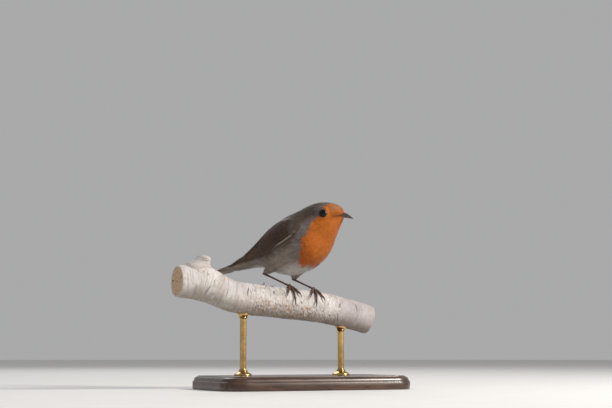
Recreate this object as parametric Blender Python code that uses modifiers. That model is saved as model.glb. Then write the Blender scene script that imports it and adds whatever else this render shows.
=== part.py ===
"""A European robin gripping a short length of birch, held up by a plain display stand.

Blender 4.5, metres, +Z up. The bird looks along +X and its left side is +Y. The origin is the
centre of the base's underside, right below the middle of the two feet. Sizes below are in
millimetres, and MM turns them into metres where the meshes are made.

The bird is drawn first in its own frame, whose origin is the middle of the trunk, as if it looked
straight ahead; the sections of the neck and head are then turned a little to the left.
"""

import math

import bmesh
import bpy
from mathutils import Matrix, Vector

MM = 0.001
GAP = 0.3  # air kept between two solids that touch
CUT = 0.15  # half of a thin cut between two lengths of the body

# The stand and the perch
PERCH_HEIGHT = 62.0  # the perch's axis above the floor, below the feet
PERCH_HEADING = math.radians(55.0)  # the perch's direction, from the bird's own
PERCH_RADIUS = 11.2
PERCH_ENDS = (-98.0, 55.0)  # along the perch, from the middle of the feet
PERCH_FALL = 0.09  # how fast the perch drops under the feet
PERCH_DROOP = 0.0018  # and how it bends down ahead of them
PERCH_KINK = 8.0  # how far it climbs behind them
KINK_FROM, KINK_TO = -50.0, -84.0
STUB_AT = -80.0  # the broken side branch
STUB_RADIUS = 4.9
STUB_TALL = 17.8
BASE = (150.0, 84.0, 10.0)
BASE_CORNER = 16.0
ROD_AT = (-46.0, 32.0)
ROD_RADIUS = 2.4
ROD_FLANGE = 6.5

# The bird
MIDDLE = Vector((-8.3, 0.0, PERCH_HEIGHT + 42.9))  # the trunk's middle, from the base's centre
HEAD_TURN = math.radians(12.0)
TURN_AXIS_X = 8.0
TURN_FROM, TURN_TO = 9.0, 5.0  # the head turns fully before the second station, not after the first

# Stations along the body: the back line and the belly line as (x, z), then the half-width of the
# upper and of the lower part. Each section lies in the plane through its two midline points.
STATIONS = (
    ((41.5, 25.1), (40.7, 20.2), 2.5, 2.3),  # bill base
    ((40.8, 27.9), (39.7, 18.2), 4.8, 4.4),  # forehead and chin
    ((38.3, 30.6), (38.0, 14.9), 7.2, 6.9),  # lores
    ((33.7, 32.6), (36.2, 11.0), 9.5, 9.4),
    ((27.4, 33.6), (34.2, 6.1), 11.2, 11.9),  # eyes
    ((21.2, 33.4), (32.0, 0.4), 12.1, 14.3),  # ear coverts
    ((15.0, 31.4), (29.4, -4.8), 12.8, 16.5),  # nape and upper breast
    ((9.2, 28.6), (25.6, -9.5), 14.5, 18.8),
    ((3.2, 26.2), (20.8, -13.5), 16.8, 20.4),  # shoulders and breast
    ((-3.6, 23.5), (14.9, -16.9), 18.2, 21.2),
    ((-10.8, 19.0), (8.0, -19.0), 18.2, 21.2),  # mantle and belly
    ((-17.9, 13.0), (-0.2, -20.6), 16.9, 19.8),
    ((-24.7, 7.2), (-8.8, -19.5), 14.4, 17.0),  # lower back
    ((-31.2, 2.2), (-18.0, -15.9), 11.2, 12.8),  # rump and vent
    ((-37.8, -2.0), (-27.8, -13.6), 8.6, 9.2),
    ((-44.4, -5.4), (-38.6, -14.3), 7.2, 7.6),  # tail coverts
    ((-52.4, -9.7), (-50.7, -15.8), 6.3, 6.4),
)
HEAD_END, NECK_END, TRUNK_END = 5.6, 7.4, len(STATIONS) - 1.0
RING = 28
FULLNESS = 0.92  # below 1, a section is fuller than an ellipse

EYE = Vector((28.5, 0.0, 23.9))
EYE_RADIUS = 3.55
EYE_DEPTH = 2.05  # the eye's middle inside the face

BILL_BASE_X, BILL_TIP = 41.8, (49.0, 20.3)

TAIL_ROOT = Vector((-52.8, 0.0, -11.7))
TAIL_LENGTH = 24.4
TAIL_DROP = math.radians(17.5)
TAIL_HALF_WIDTH = (6.2, 9.3)
TAIL_FEATHERS = 6  # on each side
UNDERTAIL = 2.7  # how much the soft coverts below the tail's root add to it

# The folded wing, as a patch of the body's own surface: along it from the bend to the tip, the
# station, then the angle round the section of its upper and lower edge, 0 being the back line
WING_EDGE = (
    (7.15, 62.0, 76.0),
    (7.6, 48.0, 84.0),
    (8.6, 38.0, 88.0),
    (9.9, 32.0, 90.0),
    (11.2, 29.0, 91.0),
    (12.4, 30.0, 94.0),
    (13.4, 34.0, 99.0),
    (14.3, 42.0, 101.0),
    (15.1, 54.0, 97.0),
    (15.5, 70.0, 88.0),
)
WING_MIDDLE_THICK, WING_TIP_THICK, WING_EDGE_THICK = 2.0, 1.1, 0.6

# Each leg: thigh points with their radii, the heel, and the toe joint's place along the perch
LEGS = {
    "right": {
        "thigh": (((-5.0, -10.4, -10.5), 6.4), ((-11.6, -11.2, -15.4), 4.4), ((-17.1, -11.9, -18.2), 1.7)),
        "heel": Vector((-18.3, -12.0, -18.9)),
        "grip": -10.9,
    },
    "left": {
        "thigh": (((3.0, 9.2, -12.0), 6.6), ((-2.6, 10.2, -18.2), 5.0), ((-5.9, 11.4, -21.4), 1.9)),
        "heel": Vector((-6.8, 11.6, -22.2)),
        "grip": 8.2,
    },
}
TARSUS_RADIUS = 0.75
TOE_JOINT_HEIGHT = 1.75  # over the bark
# Each toe: its length, its claw's length, and its spread from straight across the perch
TOES = {
    "hind": (8.6, 6.2, 180.0),
    "inner": (10.6, 4.3, 26.0),
    "middle": (14.8, 4.9, 4.0),
    "outer": (11.4, 4.2, -22.0),
}

COLOURS = {
    "orange_plumage": ((0.62, 0.20, 0.035, 1.0), 0.75),
    "olive_plumage": ((0.13, 0.10, 0.062, 1.0), 0.75),
    "grey_plumage": ((0.36, 0.34, 0.31, 1.0), 0.8),
    "horn": ((0.035, 0.028, 0.025, 1.0), 0.4),
    "leg_skin": ((0.11, 0.055, 0.035, 1.0), 0.5),
    "eye": ((0.006, 0.005, 0.004, 1.0), 0.08),
    "birch_bark": ((0.74, 0.71, 0.67, 1.0), 0.8),
    "dark_wood": ((0.16, 0.075, 0.035, 1.0), 0.4),
    "brass": ((0.68, 0.48, 0.20, 1.0), 0.3),
}


def clear_scene():
    for old in list(bpy.data.objects):
        bpy.data.objects.remove(old, do_unlink=True)


def collection(name):
    made = bpy.data.collections.new(name)
    bpy.context.scene.collection.children.link(made)
    return made


def material(name):
    made = bpy.data.materials.get(name)
    if made is None:
        colour, roughness = COLOURS[name]
        made = bpy.data.materials.new(name)
        made.use_nodes = True
        shader = made.node_tree.nodes["Principled BSDF"]
        shader.inputs["Base Color"].default_value = colour
        shader.inputs["Roughness"].default_value = roughness
        shader.inputs["Metallic"].default_value = 1.0 if name == "brass" else 0.0
        made.diffuse_color = colour
    return made


def add_mesh(name, mesh, colour, place):
    obj = bpy.data.objects.new(name, mesh)
    place.objects.link(obj)
    mesh.materials.append(material(colour))
    mesh.shade_smooth()
    mesh.set_sharp_from_angle(angle=math.radians(50))
    return obj


def smooth(low, high, x):
    """0 at low and 1 at high, with an even start and finish."""
    t = min(1.0, max(0.0, (x - low) / (high - low)))
    return t * t * (3.0 - 2.0 * t)


def through(rows, at):
    """A smooth curve through rows of numbers, read at a fractional row."""
    i = min(int(at), len(rows) - 2)
    t = at - i
    before, a, b, after = (rows[min(max(k, 0), len(rows) - 1)] for k in (i - 1, i, i + 1, i + 2))
    return [
        0.5 * (2 * q + (r - p) * t + (2 * p - 5 * q + 4 * r - s) * t * t + (3 * q - p - 3 * r + s) * t**3)
        for p, q, r, s in zip(before, a, b, after)
    ]


STATION_ROWS = [(*back, *belly, upper, lower) for back, belly, upper, lower in STATIONS]


def turned(point, share=1.0):
    """A point of the straight bird, turned with that share of the head's turn."""
    angle = HEAD_TURN * share
    x, y = point[0] - TURN_AXIS_X, point[1]
    return Vector(
        (
            TURN_AXIS_X + x * math.cos(angle) - y * math.sin(angle),
            x * math.sin(angle) + y * math.cos(angle),
            point[2],
        )
    )


def straight_body(station, angle, grow=0.0):
    """A point on the body's surface. angle is in degrees from the back line, and over 180 is the left side."""
    back_x, back_z, belly_x, belly_z, upper, lower = through(STATION_ROWS, station)
    back, belly = Vector((back_x, 0, back_z)), Vector((belly_x, 0, belly_z))
    out = (back - belly).normalized() * grow
    back, belly = back + out, belly - out
    turn = math.radians(angle)
    share = (1.0 - math.cos(turn)) / 2.0
    width = (upper + (lower - upper) * share + grow) * abs(math.sin(turn)) ** FULLNESS
    point = back.lerp(belly, share)
    point.y = -width if angle < 180.0 else width
    return point


def body(station, angle, grow=0.0):
    share = 1.0 - smooth(TURN_TO, TURN_FROM, station)
    return turned(straight_body(station, angle, grow), share)


def body_normal(station, angle):
    along = body(station + 0.05, angle) - body(station - 0.05, angle)
    around = body(station, angle + 1.5) - body(station, angle - 1.5)
    return along.cross(around).normalized()


def place_bird(point):
    return (point + MIDDLE) * MM


def skin_mesh(name, rings):
    """A closed mesh through rings of points in metres, with flat ends."""
    made = bmesh.new()
    rows = [[made.verts.new(p) for p in ring] for ring in rings]
    count = len(rows[0])
    for first, second in zip(rows, rows[1:]):
        for k in range(count):
            made.faces.new((first[k], first[(k + 1) % count], second[(k + 1) % count], second[k]))
    made.faces.new(rows[0])
    made.faces.new(rows[-1])
    bmesh.ops.recalc_face_normals(made, faces=made.faces)
    mesh = bpy.data.meshes.new(name)
    made.to_mesh(mesh)
    made.free()
    return mesh


def body_length(name, start, end, step, colour, place, grow=0.0):
    """One length of the body, between two stations."""
    count = max(1, round((end - start) / step))
    rings = [
        [
            place_bird(body(start + (end - start) * i / count, 360.0 * k / RING, grow))
            for k in range(RING)
        ]
        for i in range(count + 1)
    ]
    return add_mesh(name, skin_mesh(name, rings), colour, place)


def cutter_from(obj, place):
    place.objects.link(obj)
    for other in list(obj.users_collection):
        if other is not place:
            other.objects.unlink(obj)
    obj.hide_render = True
    obj.display_type = "WIRE"
    return obj


def boolean(obj, other, operation):
    change = obj.modifiers.new(f"{operation.lower()} {other.name}", "BOOLEAN")
    change.operation = operation
    change.object = other
    change.solver = "EXACT"


def ball(name, centre, radius, segments, rings, colour, place, axis=None):
    bpy.ops.mesh.primitive_uv_sphere_add(segments=segments, ring_count=rings, radius=radius * MM)
    obj = bpy.context.object
    obj.name = obj.data.name = name
    obj.location = place_bird(centre)
    if axis is not None:
        obj.rotation_euler = axis.to_track_quat("Z", "Y").to_euler()
    for old in list(obj.users_collection):
        old.objects.unlink(obj)
    place.objects.link(obj)
    obj.data.materials.append(material(colour))
    obj.data.shade_smooth()
    return obj


def tube(name, points, radii, sides, colour, place):
    """A tapered round tube through points in metres, as a closed mesh."""
    line = bpy.data.curves.new(name, "CURVE")
    line.dimensions = "3D"
    line.bevel_depth = 1.0
    line.bevel_resolution = sides // 4 - 1 if sides > 4 else 0
    line.use_fill_caps = True
    path = line.splines.new("POLY")
    path.points.add(len(points) - 1)
    for control, point, radius in zip(path.points, points, radii):
        control.co = (*point, 1.0)
        control.radius = radius * MM
    guide = bpy.data.objects.new(name + "_line", line)
    place.objects.link(guide)
    graph = bpy.context.evaluated_depsgraph_get()
    mesh = bpy.data.meshes.new_from_object(guide.evaluated_get(graph))
    mesh.name = name
    bpy.data.objects.remove(guide)
    welded = bmesh.new()
    welded.from_mesh(mesh)
    bmesh.ops.remove_doubles(welded, verts=welded.verts, dist=0.000002)
    bmesh.ops.recalc_face_normals(welded, faces=welded.faces)
    welded.to_mesh(mesh)
    welded.free()
    mesh.materials.clear()
    return add_mesh(name, mesh, colour, place)


# ---- The perch -------------------------------------------------------------------------------

ACROSS = Vector((math.sin(PERCH_HEADING), -math.cos(PERCH_HEADING), 0.0))  # where the toes point
ALONG = Vector((math.cos(PERCH_HEADING), math.sin(PERCH_HEADING), 0.0))


def perch_axis(at):
    """The perch's middle line, from the base's centre: it climbs up to the stub and bends down ahead of the feet."""
    fall = PERCH_FALL * max(at, STUB_AT) + PERCH_DROOP * max(0.0, at) ** 2
    height = PERCH_HEIGHT - fall + PERCH_KINK * smooth(KINK_FROM, KINK_TO, at)
    sway = 1.6 * math.sin(at / 31.0)
    return ALONG * at + ACROSS * sway + Vector((0.0, 0.0, height))


def perch_radius(at, angle):
    """The bark's distance from the axis: thicker towards the stub, with low knots."""
    taper = 1.0 - 0.0003 * (at + 20.0)
    stub_swell = 0.15 * math.exp(-(((at - STUB_AT) / 11.0) ** 2))
    knot = 0.05 * math.exp(-(((at + 38.0) / 7.0) ** 2)) * max(0.0, math.cos(angle + 2.2))
    oval = 0.02 * math.cos(2.0 * angle + at / 40.0)
    ripple = 0.012 * math.sin(3.0 * angle + at / 9.0) * smooth(14.0, 30.0, abs(at))
    return PERCH_RADIUS * (taper + stub_swell + knot + oval + ripple)


def on_perch(at, angle, height=0.0):
    """A point over the bark. angle is in radians from the top, towards the toes."""
    ahead = (perch_axis(at + 0.5) - perch_axis(at - 0.5)).normalized()
    side = (ACROSS - ahead * ACROSS.dot(ahead)).normalized()
    up = ahead.cross(side) * -1.0
    if up.z < 0.0:
        up = -up
    out = up * math.cos(angle) + side * math.sin(angle)
    return perch_axis(at) + out * (perch_radius(at, angle) + height)


def make_perch(parts, cutters):
    sides, count = 20, 22
    start, end = PERCH_ENDS
    rings = []
    for i in range(count + 1):
        at = start + (end - start) * i / count
        rings.append([on_perch(at, 2.0 * math.pi * k / sides) * MM for k in range(sides)])
    perch = add_mesh("perch", skin_mesh("perch", rings), "birch_bark", parts)
    foot = perch_axis(STUB_AT) + Vector((0.0, 0.0, 2.0))
    lean = (Vector((0.0, 0.0, 1.0)) + ALONG * 0.12 + ACROSS * 0.18).normalized()
    rows = [(0.0, 1.7), (0.46, 1.45), (0.6, 1.18), (0.72, 1.04), (0.86, 0.96), (0.95, 1.0), (1.0, 0.84)]
    stub = tube(
        "stub",
        [(foot + lean * STUB_TALL * share) * MM for share, _ in rows],
        [STUB_RADIUS * wide for _, wide in rows],
        12,
        "birch_bark",
        parts,
    )
    cutter_from(stub, cutters)
    boolean(perch, stub, "UNION")
    around = []
    for i in range(count + 1):
        at = start + (end - start) * i / count
        around.append([on_perch(at, 2.0 * math.pi * k / sides, GAP) * MM for k in range(sides)])
    return cutter_from(add_mesh("perch_grown", skin_mesh("perch_grown", around), "birch_bark", parts), cutters)


def make_base(parts):
    bpy.ops.mesh.primitive_cube_add(size=1.0)
    base = bpy.context.object
    base.name = base.data.name = "stand_base"
    shape = bmesh.new()
    shape.from_mesh(base.data)
    bmesh.ops.scale(shape, vec=Vector(BASE) * MM, verts=shape.verts)
    uprights = [e for e in shape.edges if abs(e.verts[0].co.z - e.verts[1].co.z) > 0.5 * BASE[2] * MM]
    bmesh.ops.bevel(shape, geom=uprights, offset=BASE_CORNER * MM, segments=6, profile=0.5, affect="EDGES")
    shape.to_mesh(base.data)
    shape.free()
    base.location = (0.0, 0.0, BASE[2] / 2.0 * MM)
    base.rotation_euler = (0.0, 0.0, PERCH_HEADING)
    rim = base.modifiers.new("rim", "BEVEL")
    rim.width = 0.9 * MM
    rim.segments = 2
    rim.limit_method = "ANGLE"
    rim.angle_limit = math.radians(50)
    for old in list(base.users_collection):
        old.objects.unlink(base)
    parts.objects.link(base)
    base.data.materials.append(material("dark_wood"))
    base.data.shade_smooth()
    base.data.set_sharp_from_angle(angle=math.radians(40))


def make_rod(name, at, parts, grown_perch):
    """A turned rod with a flange on the base and a small saddle under the perch."""
    top = on_perch(at, math.pi).z + 1.3
    low = BASE[2] + GAP
    tall = top - low
    side = [
        (0.0, tall),
        (3.9, tall),
        (4.2, tall - 0.5),
        (4.0, tall - 2.2),
        (ROD_RADIUS, tall - 3.4),
        (ROD_RADIUS, 3.6),
        (3.2, 2.4),
        (ROD_FLANGE - 0.5, 1.7),
        (ROD_FLANGE, 1.2),
        (ROD_FLANGE, 0.0),
        (0.0, 0.0),
    ]
    mesh = bpy.data.meshes.new(name)
    mesh.from_pydata([(r * MM, 0.0, z * MM) for r, z in side], [(i, i + 1) for i in range(len(side) - 1)], [])
    rod = bpy.data.objects.new(name, mesh)
    parts.objects.link(rod)
    middle = perch_axis(at)
    rod.location = (middle.x * MM, middle.y * MM, low * MM)
    turn = rod.modifiers.new("turned", "SCREW")
    turn.steps = turn.render_steps = 16
    turn.use_merge_vertices = True
    turn.merge_threshold = 0.00001
    turn.use_smooth_shade = True
    mesh.materials.append(material("brass"))
    boolean(rod, grown_perch, "DIFFERENCE")


# ---- The body --------------------------------------------------------------------------------


def eye_place(side):
    """The eye's middle in the straight head, and the way that it looks. side is -1 on the right."""
    surface = eye_surface()
    middle = Vector((EYE.x, side * (surface - EYE_DEPTH), EYE.z))
    return turned(middle), turned(middle + Vector((0.16, side * 1.0, 0.05))) - turned(middle)


def eye_surface():
    """The head's half-width at the eye, found by walking over the sections."""
    best = min(
        (
            (straight_body(station / 20.0, float(angle)) for station in range(40, 120) for angle in range(20, 110))
        ),
        key=lambda p: (p.x - EYE.x) ** 2 + (p.z - EYE.z) ** 2,
    )
    return abs(best.y)


def make_head(parts, cutters):
    head = body_length("head", 0.0, HEAD_END - CUT / 6.0, 0.38, "orange_plumage", parts)
    for side, name in ((-1, "right"), (1, "left")):
        middle, look = eye_place(side)
        socket = ball(f"socket_{name}", middle, EYE_RADIUS + GAP, 18, 10, "eye", parts, look)
        cutter_from(socket, cutters)
        boolean(head, socket, "DIFFERENCE")
        ball(f"eye_{name}", middle, EYE_RADIUS, 18, 10, "eye", parts, look)


def mandible(name, upper, parts):
    """Half of the bill, as sections that run from the face to the tip."""
    count, half_ring = 9, 7
    rings = []
    for i in range(count + 1):
        t = i / count
        x = BILL_BASE_X + (BILL_TIP[0] - BILL_BASE_X - (0.0 if upper else 0.35)) * t
        seam = 23.15 + (BILL_TIP[1] - 23.15) * t**1.25
        wide = 1.95 * (1.0 - t) ** 0.8 + 0.24
        if upper:
            reach = (1.95 * (1.0 - t**1.7) + 0.22) * (1.0 - 0.12 * t)
            rows = [(seam + 0.06, wide)] + [
                (seam + 0.06 + reach * math.sin(a), wide * math.cos(a) ** 1.15)
                for a in (math.pi / 2 * k / half_ring for k in range(1, half_ring))
            ]
            crest = seam + 0.06 + reach
        else:
            reach = 1.45 * (1.0 - t**1.5) + 0.2
            rows = [(seam - 0.09, wide * 0.94)] + [
                (seam - 0.09 - reach * math.sin(a), wide * 0.94 * math.cos(a))
                for a in (math.pi / 2 * k / half_ring for k in range(1, half_ring))
            ]
            crest = seam - 0.09 - reach
        right = [Vector((x, -y, z)) for z, y in rows]
        left = [Vector((x, y, z)) for z, y in reversed(rows)]
        rings.append([place_bird(turned(p)) for p in right + [Vector((x, 0.0, crest))] + left])
    return add_mesh(name, skin_mesh(name, rings), "horn", parts)


def make_wing(name, side, parts):
    """A folded wing: a thick patch that lies on the trunk from the bend to the tip."""
    lengths, heights = 18, 6
    lower, upper = [], []
    for i in range(lengths + 1):
        at = (len(WING_EDGE) - 1) * i / lengths
        station, high, low = through(WING_EDGE, at)
        share = i / lengths
        thick = WING_MIDDLE_THICK + (WING_TIP_THICK - WING_MIDDLE_THICK) * smooth(0.45, 1.0, share)
        thick *= 0.62 + 0.38 * smooth(0.0, 0.14, share)
        inner_row, outer_row = [], []
        for k in range(heights + 1):
            across = k / heights
            angle = high + (low - high) * across
            crown = 1.0 - abs(2.0 * across - 1.0) ** 3
            height = WING_EDGE_THICK + (thick - WING_EDGE_THICK) * crown
            turn = angle if side < 0 else 360.0 - angle
            foot = body(station, turn)
            out = body_normal(station, turn)
            inner_row.append(place_bird(foot + out * GAP))
            outer_row.append(place_bird(foot + out * (GAP + height)))
        lower.append(inner_row)
        upper.append(outer_row)
    rings = [a + list(reversed(b)) for a, b in zip(lower, upper)]
    return add_mesh(name, skin_mesh(name, rings), "olive_plumage", parts)


def make_tail(parts):
    """The folded tail: a low roof of overlapping feathers, notched a little at its end."""
    rows, columns = 12, 2 * TAIL_FEATHERS
    back = Vector((-math.cos(TAIL_DROP), 0.0, -math.sin(TAIL_DROP)))
    up = Vector((-math.sin(TAIL_DROP), 0.0, math.cos(TAIL_DROP)))
    top, under = [], []
    for k in range(columns + 1):
        across = 2.0 * k / columns - 1.0
        feather = abs(across)
        length = TAIL_LENGTH * (0.965 + 0.05 * feather - 0.13 * feather**6)
        for i in range(rows + 1):
            t = i / rows
            half = TAIL_HALF_WIDTH[0] + (TAIL_HALF_WIDTH[1] - TAIL_HALF_WIDTH[0]) * smooth(0.0, 0.85, t)
            roof = -0.95 * feather**1.6
            sag = -0.9 * t * t
            middle = TAIL_ROOT + back * (length * t) + up * (roof + sag)
            middle.y = across * half
            thick = (1.9 - 1.05 * feather) * (1.0 - 0.42 * t)
            top.append((k, i, place_bird(middle + up * thick / 2.0)))
            coverts = UNDERTAIL * (1.0 - smooth(0.0, 0.75, t)) * (1.0 - 0.5 * feather**2)
            under.append((k, i, place_bird(middle - up * (thick / 2.0 + coverts))))
    grid_top = {(k, i): p for k, i, p in top}
    grid_under = {(k, i): p for k, i, p in under}
    rings = [
        [grid_top[k, i] for k in range(columns + 1)] + [grid_under[k, i] for k in reversed(range(columns + 1))]
        for i in range(rows + 1)
    ]
    return add_mesh("tail", skin_mesh("tail", rings), "olive_plumage", parts)


# ---- The legs --------------------------------------------------------------------------------


def toe_path(grip, length, start, end, spread, heights):
    """Points over the bark from start to end of a toe, measured from the toe joint."""
    points = []
    for i, height in enumerate(heights):
        reach = start + (end - start) * i / (len(heights) - 1)
        round_bark = reach * math.cos(spread) / PERCH_RADIUS
        points.append(on_perch(grip + reach * math.sin(spread), round_bark, height) * MM)
    return points


def make_foot(name, leg, parts, cutters):
    grip = leg["grip"]
    side = -1.0 if name == "left" else 1.0
    joint = on_perch(grip, 0.0, TOE_JOINT_HEIGHT)
    foot = ball(f"foot_{name}", joint - MIDDLE, 1.5, 14, 9, "leg_skin", parts)
    for toe, (length, claw, degrees) in TOES.items():
        spread = math.radians(degrees) * (side if degrees < 100.0 else 1.0)
        count = 6
        thick = [0.95 - 0.28 * i / count + 0.07 * math.cos(2 * math.pi * 3.0 * i / count) for i in range(count + 1)]
        thick[-1] *= 0.8
        low = [GAP + r for r in thick]
        low[0] = TOE_JOINT_HEIGHT - 0.25
        low[1] = max(low[1], 1.35)
        start = 0.45
        toe_tube = tube(
            f"toe_{toe}_{name}",
            toe_path(grip, length, start, length, spread, low),
            thick,
            8,
            "leg_skin",
            parts,
        )
        cutter_from(toe_tube, cutters)
        boolean(foot, toe_tube, "UNION")
        claw_heights = [GAP + 0.72, GAP + 1.2, GAP + 1.35, GAP + 1.15, GAP + 0.62, GAP + 0.16]
        tube(  # the claw
            f"claw_{toe}_{name}",
            toe_path(grip, claw, length + GAP, length + claw, spread, claw_heights),
            [0.56, 0.52, 0.43, 0.33, 0.22, 0.1],
            8,
            "horn",
            parts,
        )
    return joint


def make_leg(name, leg, parts, cutters, grown_trunk):
    joint = make_foot(name, leg, parts, cutters) - MIDDLE
    heel = leg["heel"]
    way = (joint - heel).normalized()
    length = (joint - heel).length - 1.5 - GAP
    shares = (0.0, 0.05, 0.13, 0.3, 0.6, 0.85, 0.95, 1.0)
    wide = (0.75, 1.5, 1.35, 1.0, 0.95, 1.0, 1.2, 1.1)
    tube(
        f"tarsus_{name}",
        [place_bird(heel + way * length * share) for share in shares],
        [TARSUS_RADIUS * w for w in wide],
        12,
        "leg_skin",
        parts,
    )
    around = tube(
        f"heel_{name}",
        [place_bird(heel + way * reach) for reach in (-0.45, 0.3, 5.0)],
        [TARSUS_RADIUS * wide[0] + GAP, TARSUS_RADIUS * wide[1] + GAP, TARSUS_RADIUS * wide[2] + GAP],
        12,
        "leg_skin",
        parts,
    )
    cutter_from(around, cutters)
    rows = [(*point, radius) for point, radius in leg["thigh"]]
    steps = 6
    curve = [through(rows, (len(rows) - 1) * i / steps) for i in range(steps + 1)]
    thigh = tube(
        f"thigh_{name}",
        [place_bird(Vector(row[:3])) for row in curve],
        [row[3] for row in curve],
        14,
        "grey_plumage",
        parts,
    )
    boolean(thigh, grown_trunk, "DIFFERENCE")
    boolean(thigh, around, "DIFFERENCE")


def build():
    clear_scene()
    parts = collection("robin")
    cutters = collection("cutters")
    cutters.hide_render = True

    grown_perch = make_perch(parts, cutters)
    make_base(parts)
    for name, at in zip(("stand_rod_rear", "stand_rod_front"), ROD_AT):
        make_rod(name, at, parts, grown_perch)

    make_head(parts, cutters)
    mandible("bill_upper", True, parts)
    mandible("bill_lower", False, parts)
    body_length("neck", HEAD_END + CUT / 6.0, NECK_END - CUT / 6.0, 0.45, "orange_plumage", parts)
    body_length("trunk", NECK_END + CUT / 6.0, TRUNK_END, 0.5, "grey_plumage", parts)
    make_wing("wing_right", -1, parts)
    make_wing("wing_left", 1, parts)
    make_tail(parts)

    grown_trunk = body_length("trunk_grown", NECK_END, TRUNK_END, 0.5, "grey_plumage", parts, grow=GAP)
    cutter_from(grown_trunk, cutters)
    for name, leg in LEGS.items():
        make_leg(name, leg, parts, cutters, grown_trunk)


build()
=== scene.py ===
import functools
import math
from itertools import product
from types import SimpleNamespace

import bmesh
import bpy
import numpy as np
from mathutils import Matrix, Vector, kdtree, noise


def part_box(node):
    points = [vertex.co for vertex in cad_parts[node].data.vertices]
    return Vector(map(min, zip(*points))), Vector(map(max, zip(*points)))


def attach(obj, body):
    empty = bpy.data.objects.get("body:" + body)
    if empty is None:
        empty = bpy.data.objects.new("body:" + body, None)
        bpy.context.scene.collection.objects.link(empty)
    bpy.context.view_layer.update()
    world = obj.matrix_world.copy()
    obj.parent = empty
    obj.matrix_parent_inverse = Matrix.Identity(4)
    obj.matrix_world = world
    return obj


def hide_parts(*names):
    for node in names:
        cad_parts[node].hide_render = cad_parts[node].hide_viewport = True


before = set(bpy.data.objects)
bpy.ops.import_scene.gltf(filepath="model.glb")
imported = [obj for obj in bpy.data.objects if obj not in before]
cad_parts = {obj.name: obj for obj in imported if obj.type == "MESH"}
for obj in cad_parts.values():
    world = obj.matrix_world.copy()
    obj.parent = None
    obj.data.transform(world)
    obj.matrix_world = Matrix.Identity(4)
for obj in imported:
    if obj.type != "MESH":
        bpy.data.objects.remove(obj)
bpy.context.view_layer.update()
mm = 0.001
print("frame loaded")

# shape of the bird and its perch in mm, by the same rules as the solids

perch = {
    "height": 62.0, "heading": math.radians(55.0), "radius": 11.2, "ends": (-98.0, 55.0),
    "fall": 0.09, "droop": 0.0018, "kink": 8.0, "kinkFrom": -50.0, "kinkTo": -84.0,
    "stubAt": -80.0, "stubRadius": 4.9, "stubTall": 17.8,
}
middle = Vector((-8.3, 0.0, perch["height"] + 42.9))  # the trunk's middle
headTurn, turnAxisX, turnFrom, turnTo = math.radians(12.0), 8.0, 9.0, 5.0
fullness, airGap = 0.92, 0.3
stations = (  # back line x, z; belly line x, z; half-widths above and below
    (41.5, 25.1, 40.7, 20.2, 2.5, 2.3), (40.8, 27.9, 39.7, 18.2, 4.8, 4.4),
    (38.3, 30.6, 38.0, 14.9, 7.2, 6.9), (33.7, 32.6, 36.2, 11.0, 9.5, 9.4),
    (27.4, 33.6, 34.2, 6.1, 11.2, 11.9), (21.2, 33.4, 32.0, 0.4, 12.1, 14.3),
    (15.0, 31.4, 29.4, -4.8, 12.8, 16.5), (9.2, 28.6, 25.6, -9.5, 14.5, 18.8),
    (3.2, 26.2, 20.8, -13.5, 16.8, 20.4), (-3.6, 23.5, 14.9, -16.9, 18.2, 21.2),
    (-10.8, 19.0, 8.0, -19.0, 18.2, 21.2), (-17.9, 13.0, -0.2, -20.6, 16.9, 19.8),
    (-24.7, 7.2, -8.8, -19.5, 14.4, 17.0), (-31.2, 2.2, -18.0, -15.9, 11.2, 12.8),
    (-37.8, -2.0, -27.8, -13.6, 8.6, 9.2), (-44.4, -5.4, -38.6, -14.3, 7.2, 7.6),
    (-52.4, -9.7, -50.7, -15.8, 6.3, 6.4),
)
lastStation = len(stations) - 1.0
wingEdge = (  # station, then the angle of the upper and lower edge
    (7.15, 62.0, 76.0), (7.6, 48.0, 84.0), (8.6, 38.0, 88.0), (9.9, 32.0, 90.0), (11.2, 29.0, 91.0),
    (12.4, 30.0, 94.0), (13.4, 34.0, 99.0), (14.3, 42.0, 101.0), (15.1, 54.0, 97.0), (15.5, 70.0, 88.0),
)
wingEnd = len(wingEdge) - 1.0
wingThick = {"middle": 2.0, "tip": 1.1, "edge": 0.6}
tail = {"root": Vector((-52.8, 0.0, -11.7)), "length": 24.4, "drop": math.radians(17.5), "half": (6.2, 9.3)}
legs = {
    "right": {"heel": Vector((-18.3, -12.0, -18.9)), "grip": -10.9, "thigh": Vector((-5.0, -10.4, -10.5))},
    "left": {"heel": Vector((-6.8, 11.6, -22.2)), "grip": 8.2, "thigh": Vector((3.0, 9.2, -12.0))},
}
toes = {  # length, claw, degrees from straight ahead
    "hind": (8.6, 6.2, 180.0), "inner": (10.6, 4.3, 26.0), "middle": (14.8, 4.9, 4.0),
    "outer": (11.4, 4.2, -22.0),
}
tarsusRadius, toeJointHeight = 0.75, 1.75


def smooth(low, high, x):
    t = np.clip((x - low) / (high - low), 0.0, 1.0)
    t = t * t * (3.0 - 2.0 * t)
    return t if np.ndim(t) else float(t)


def hill(x, wide):  # 1 at 0, falling away on both sides
    return np.exp(-((x / wide) ** 2))


def through(rows, at):  # a smooth curve through rows of numbers
    i = min(int(at), len(rows) - 2)
    t = at - i
    p, q, r, s = (rows[min(max(k, 0), len(rows) - 1)] for k in (i - 1, i, i + 1, i + 2))
    return [
        0.5 * (2 * b + (c - a) * t + (2 * a - 5 * b + 4 * c - d) * t * t + (3 * b - a - 3 * c + d) * t**3)
        for a, b, c, d in zip(p, q, r, s)
    ]


def turned(point, share=1.0):
    cosine, sine = math.cos(headTurn * share), math.sin(headTurn * share)
    x, y = point[0] - turnAxisX, point[1]
    return Vector((turnAxisX + x * cosine - y * sine, x * sine + y * cosine, point[2]))


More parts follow.
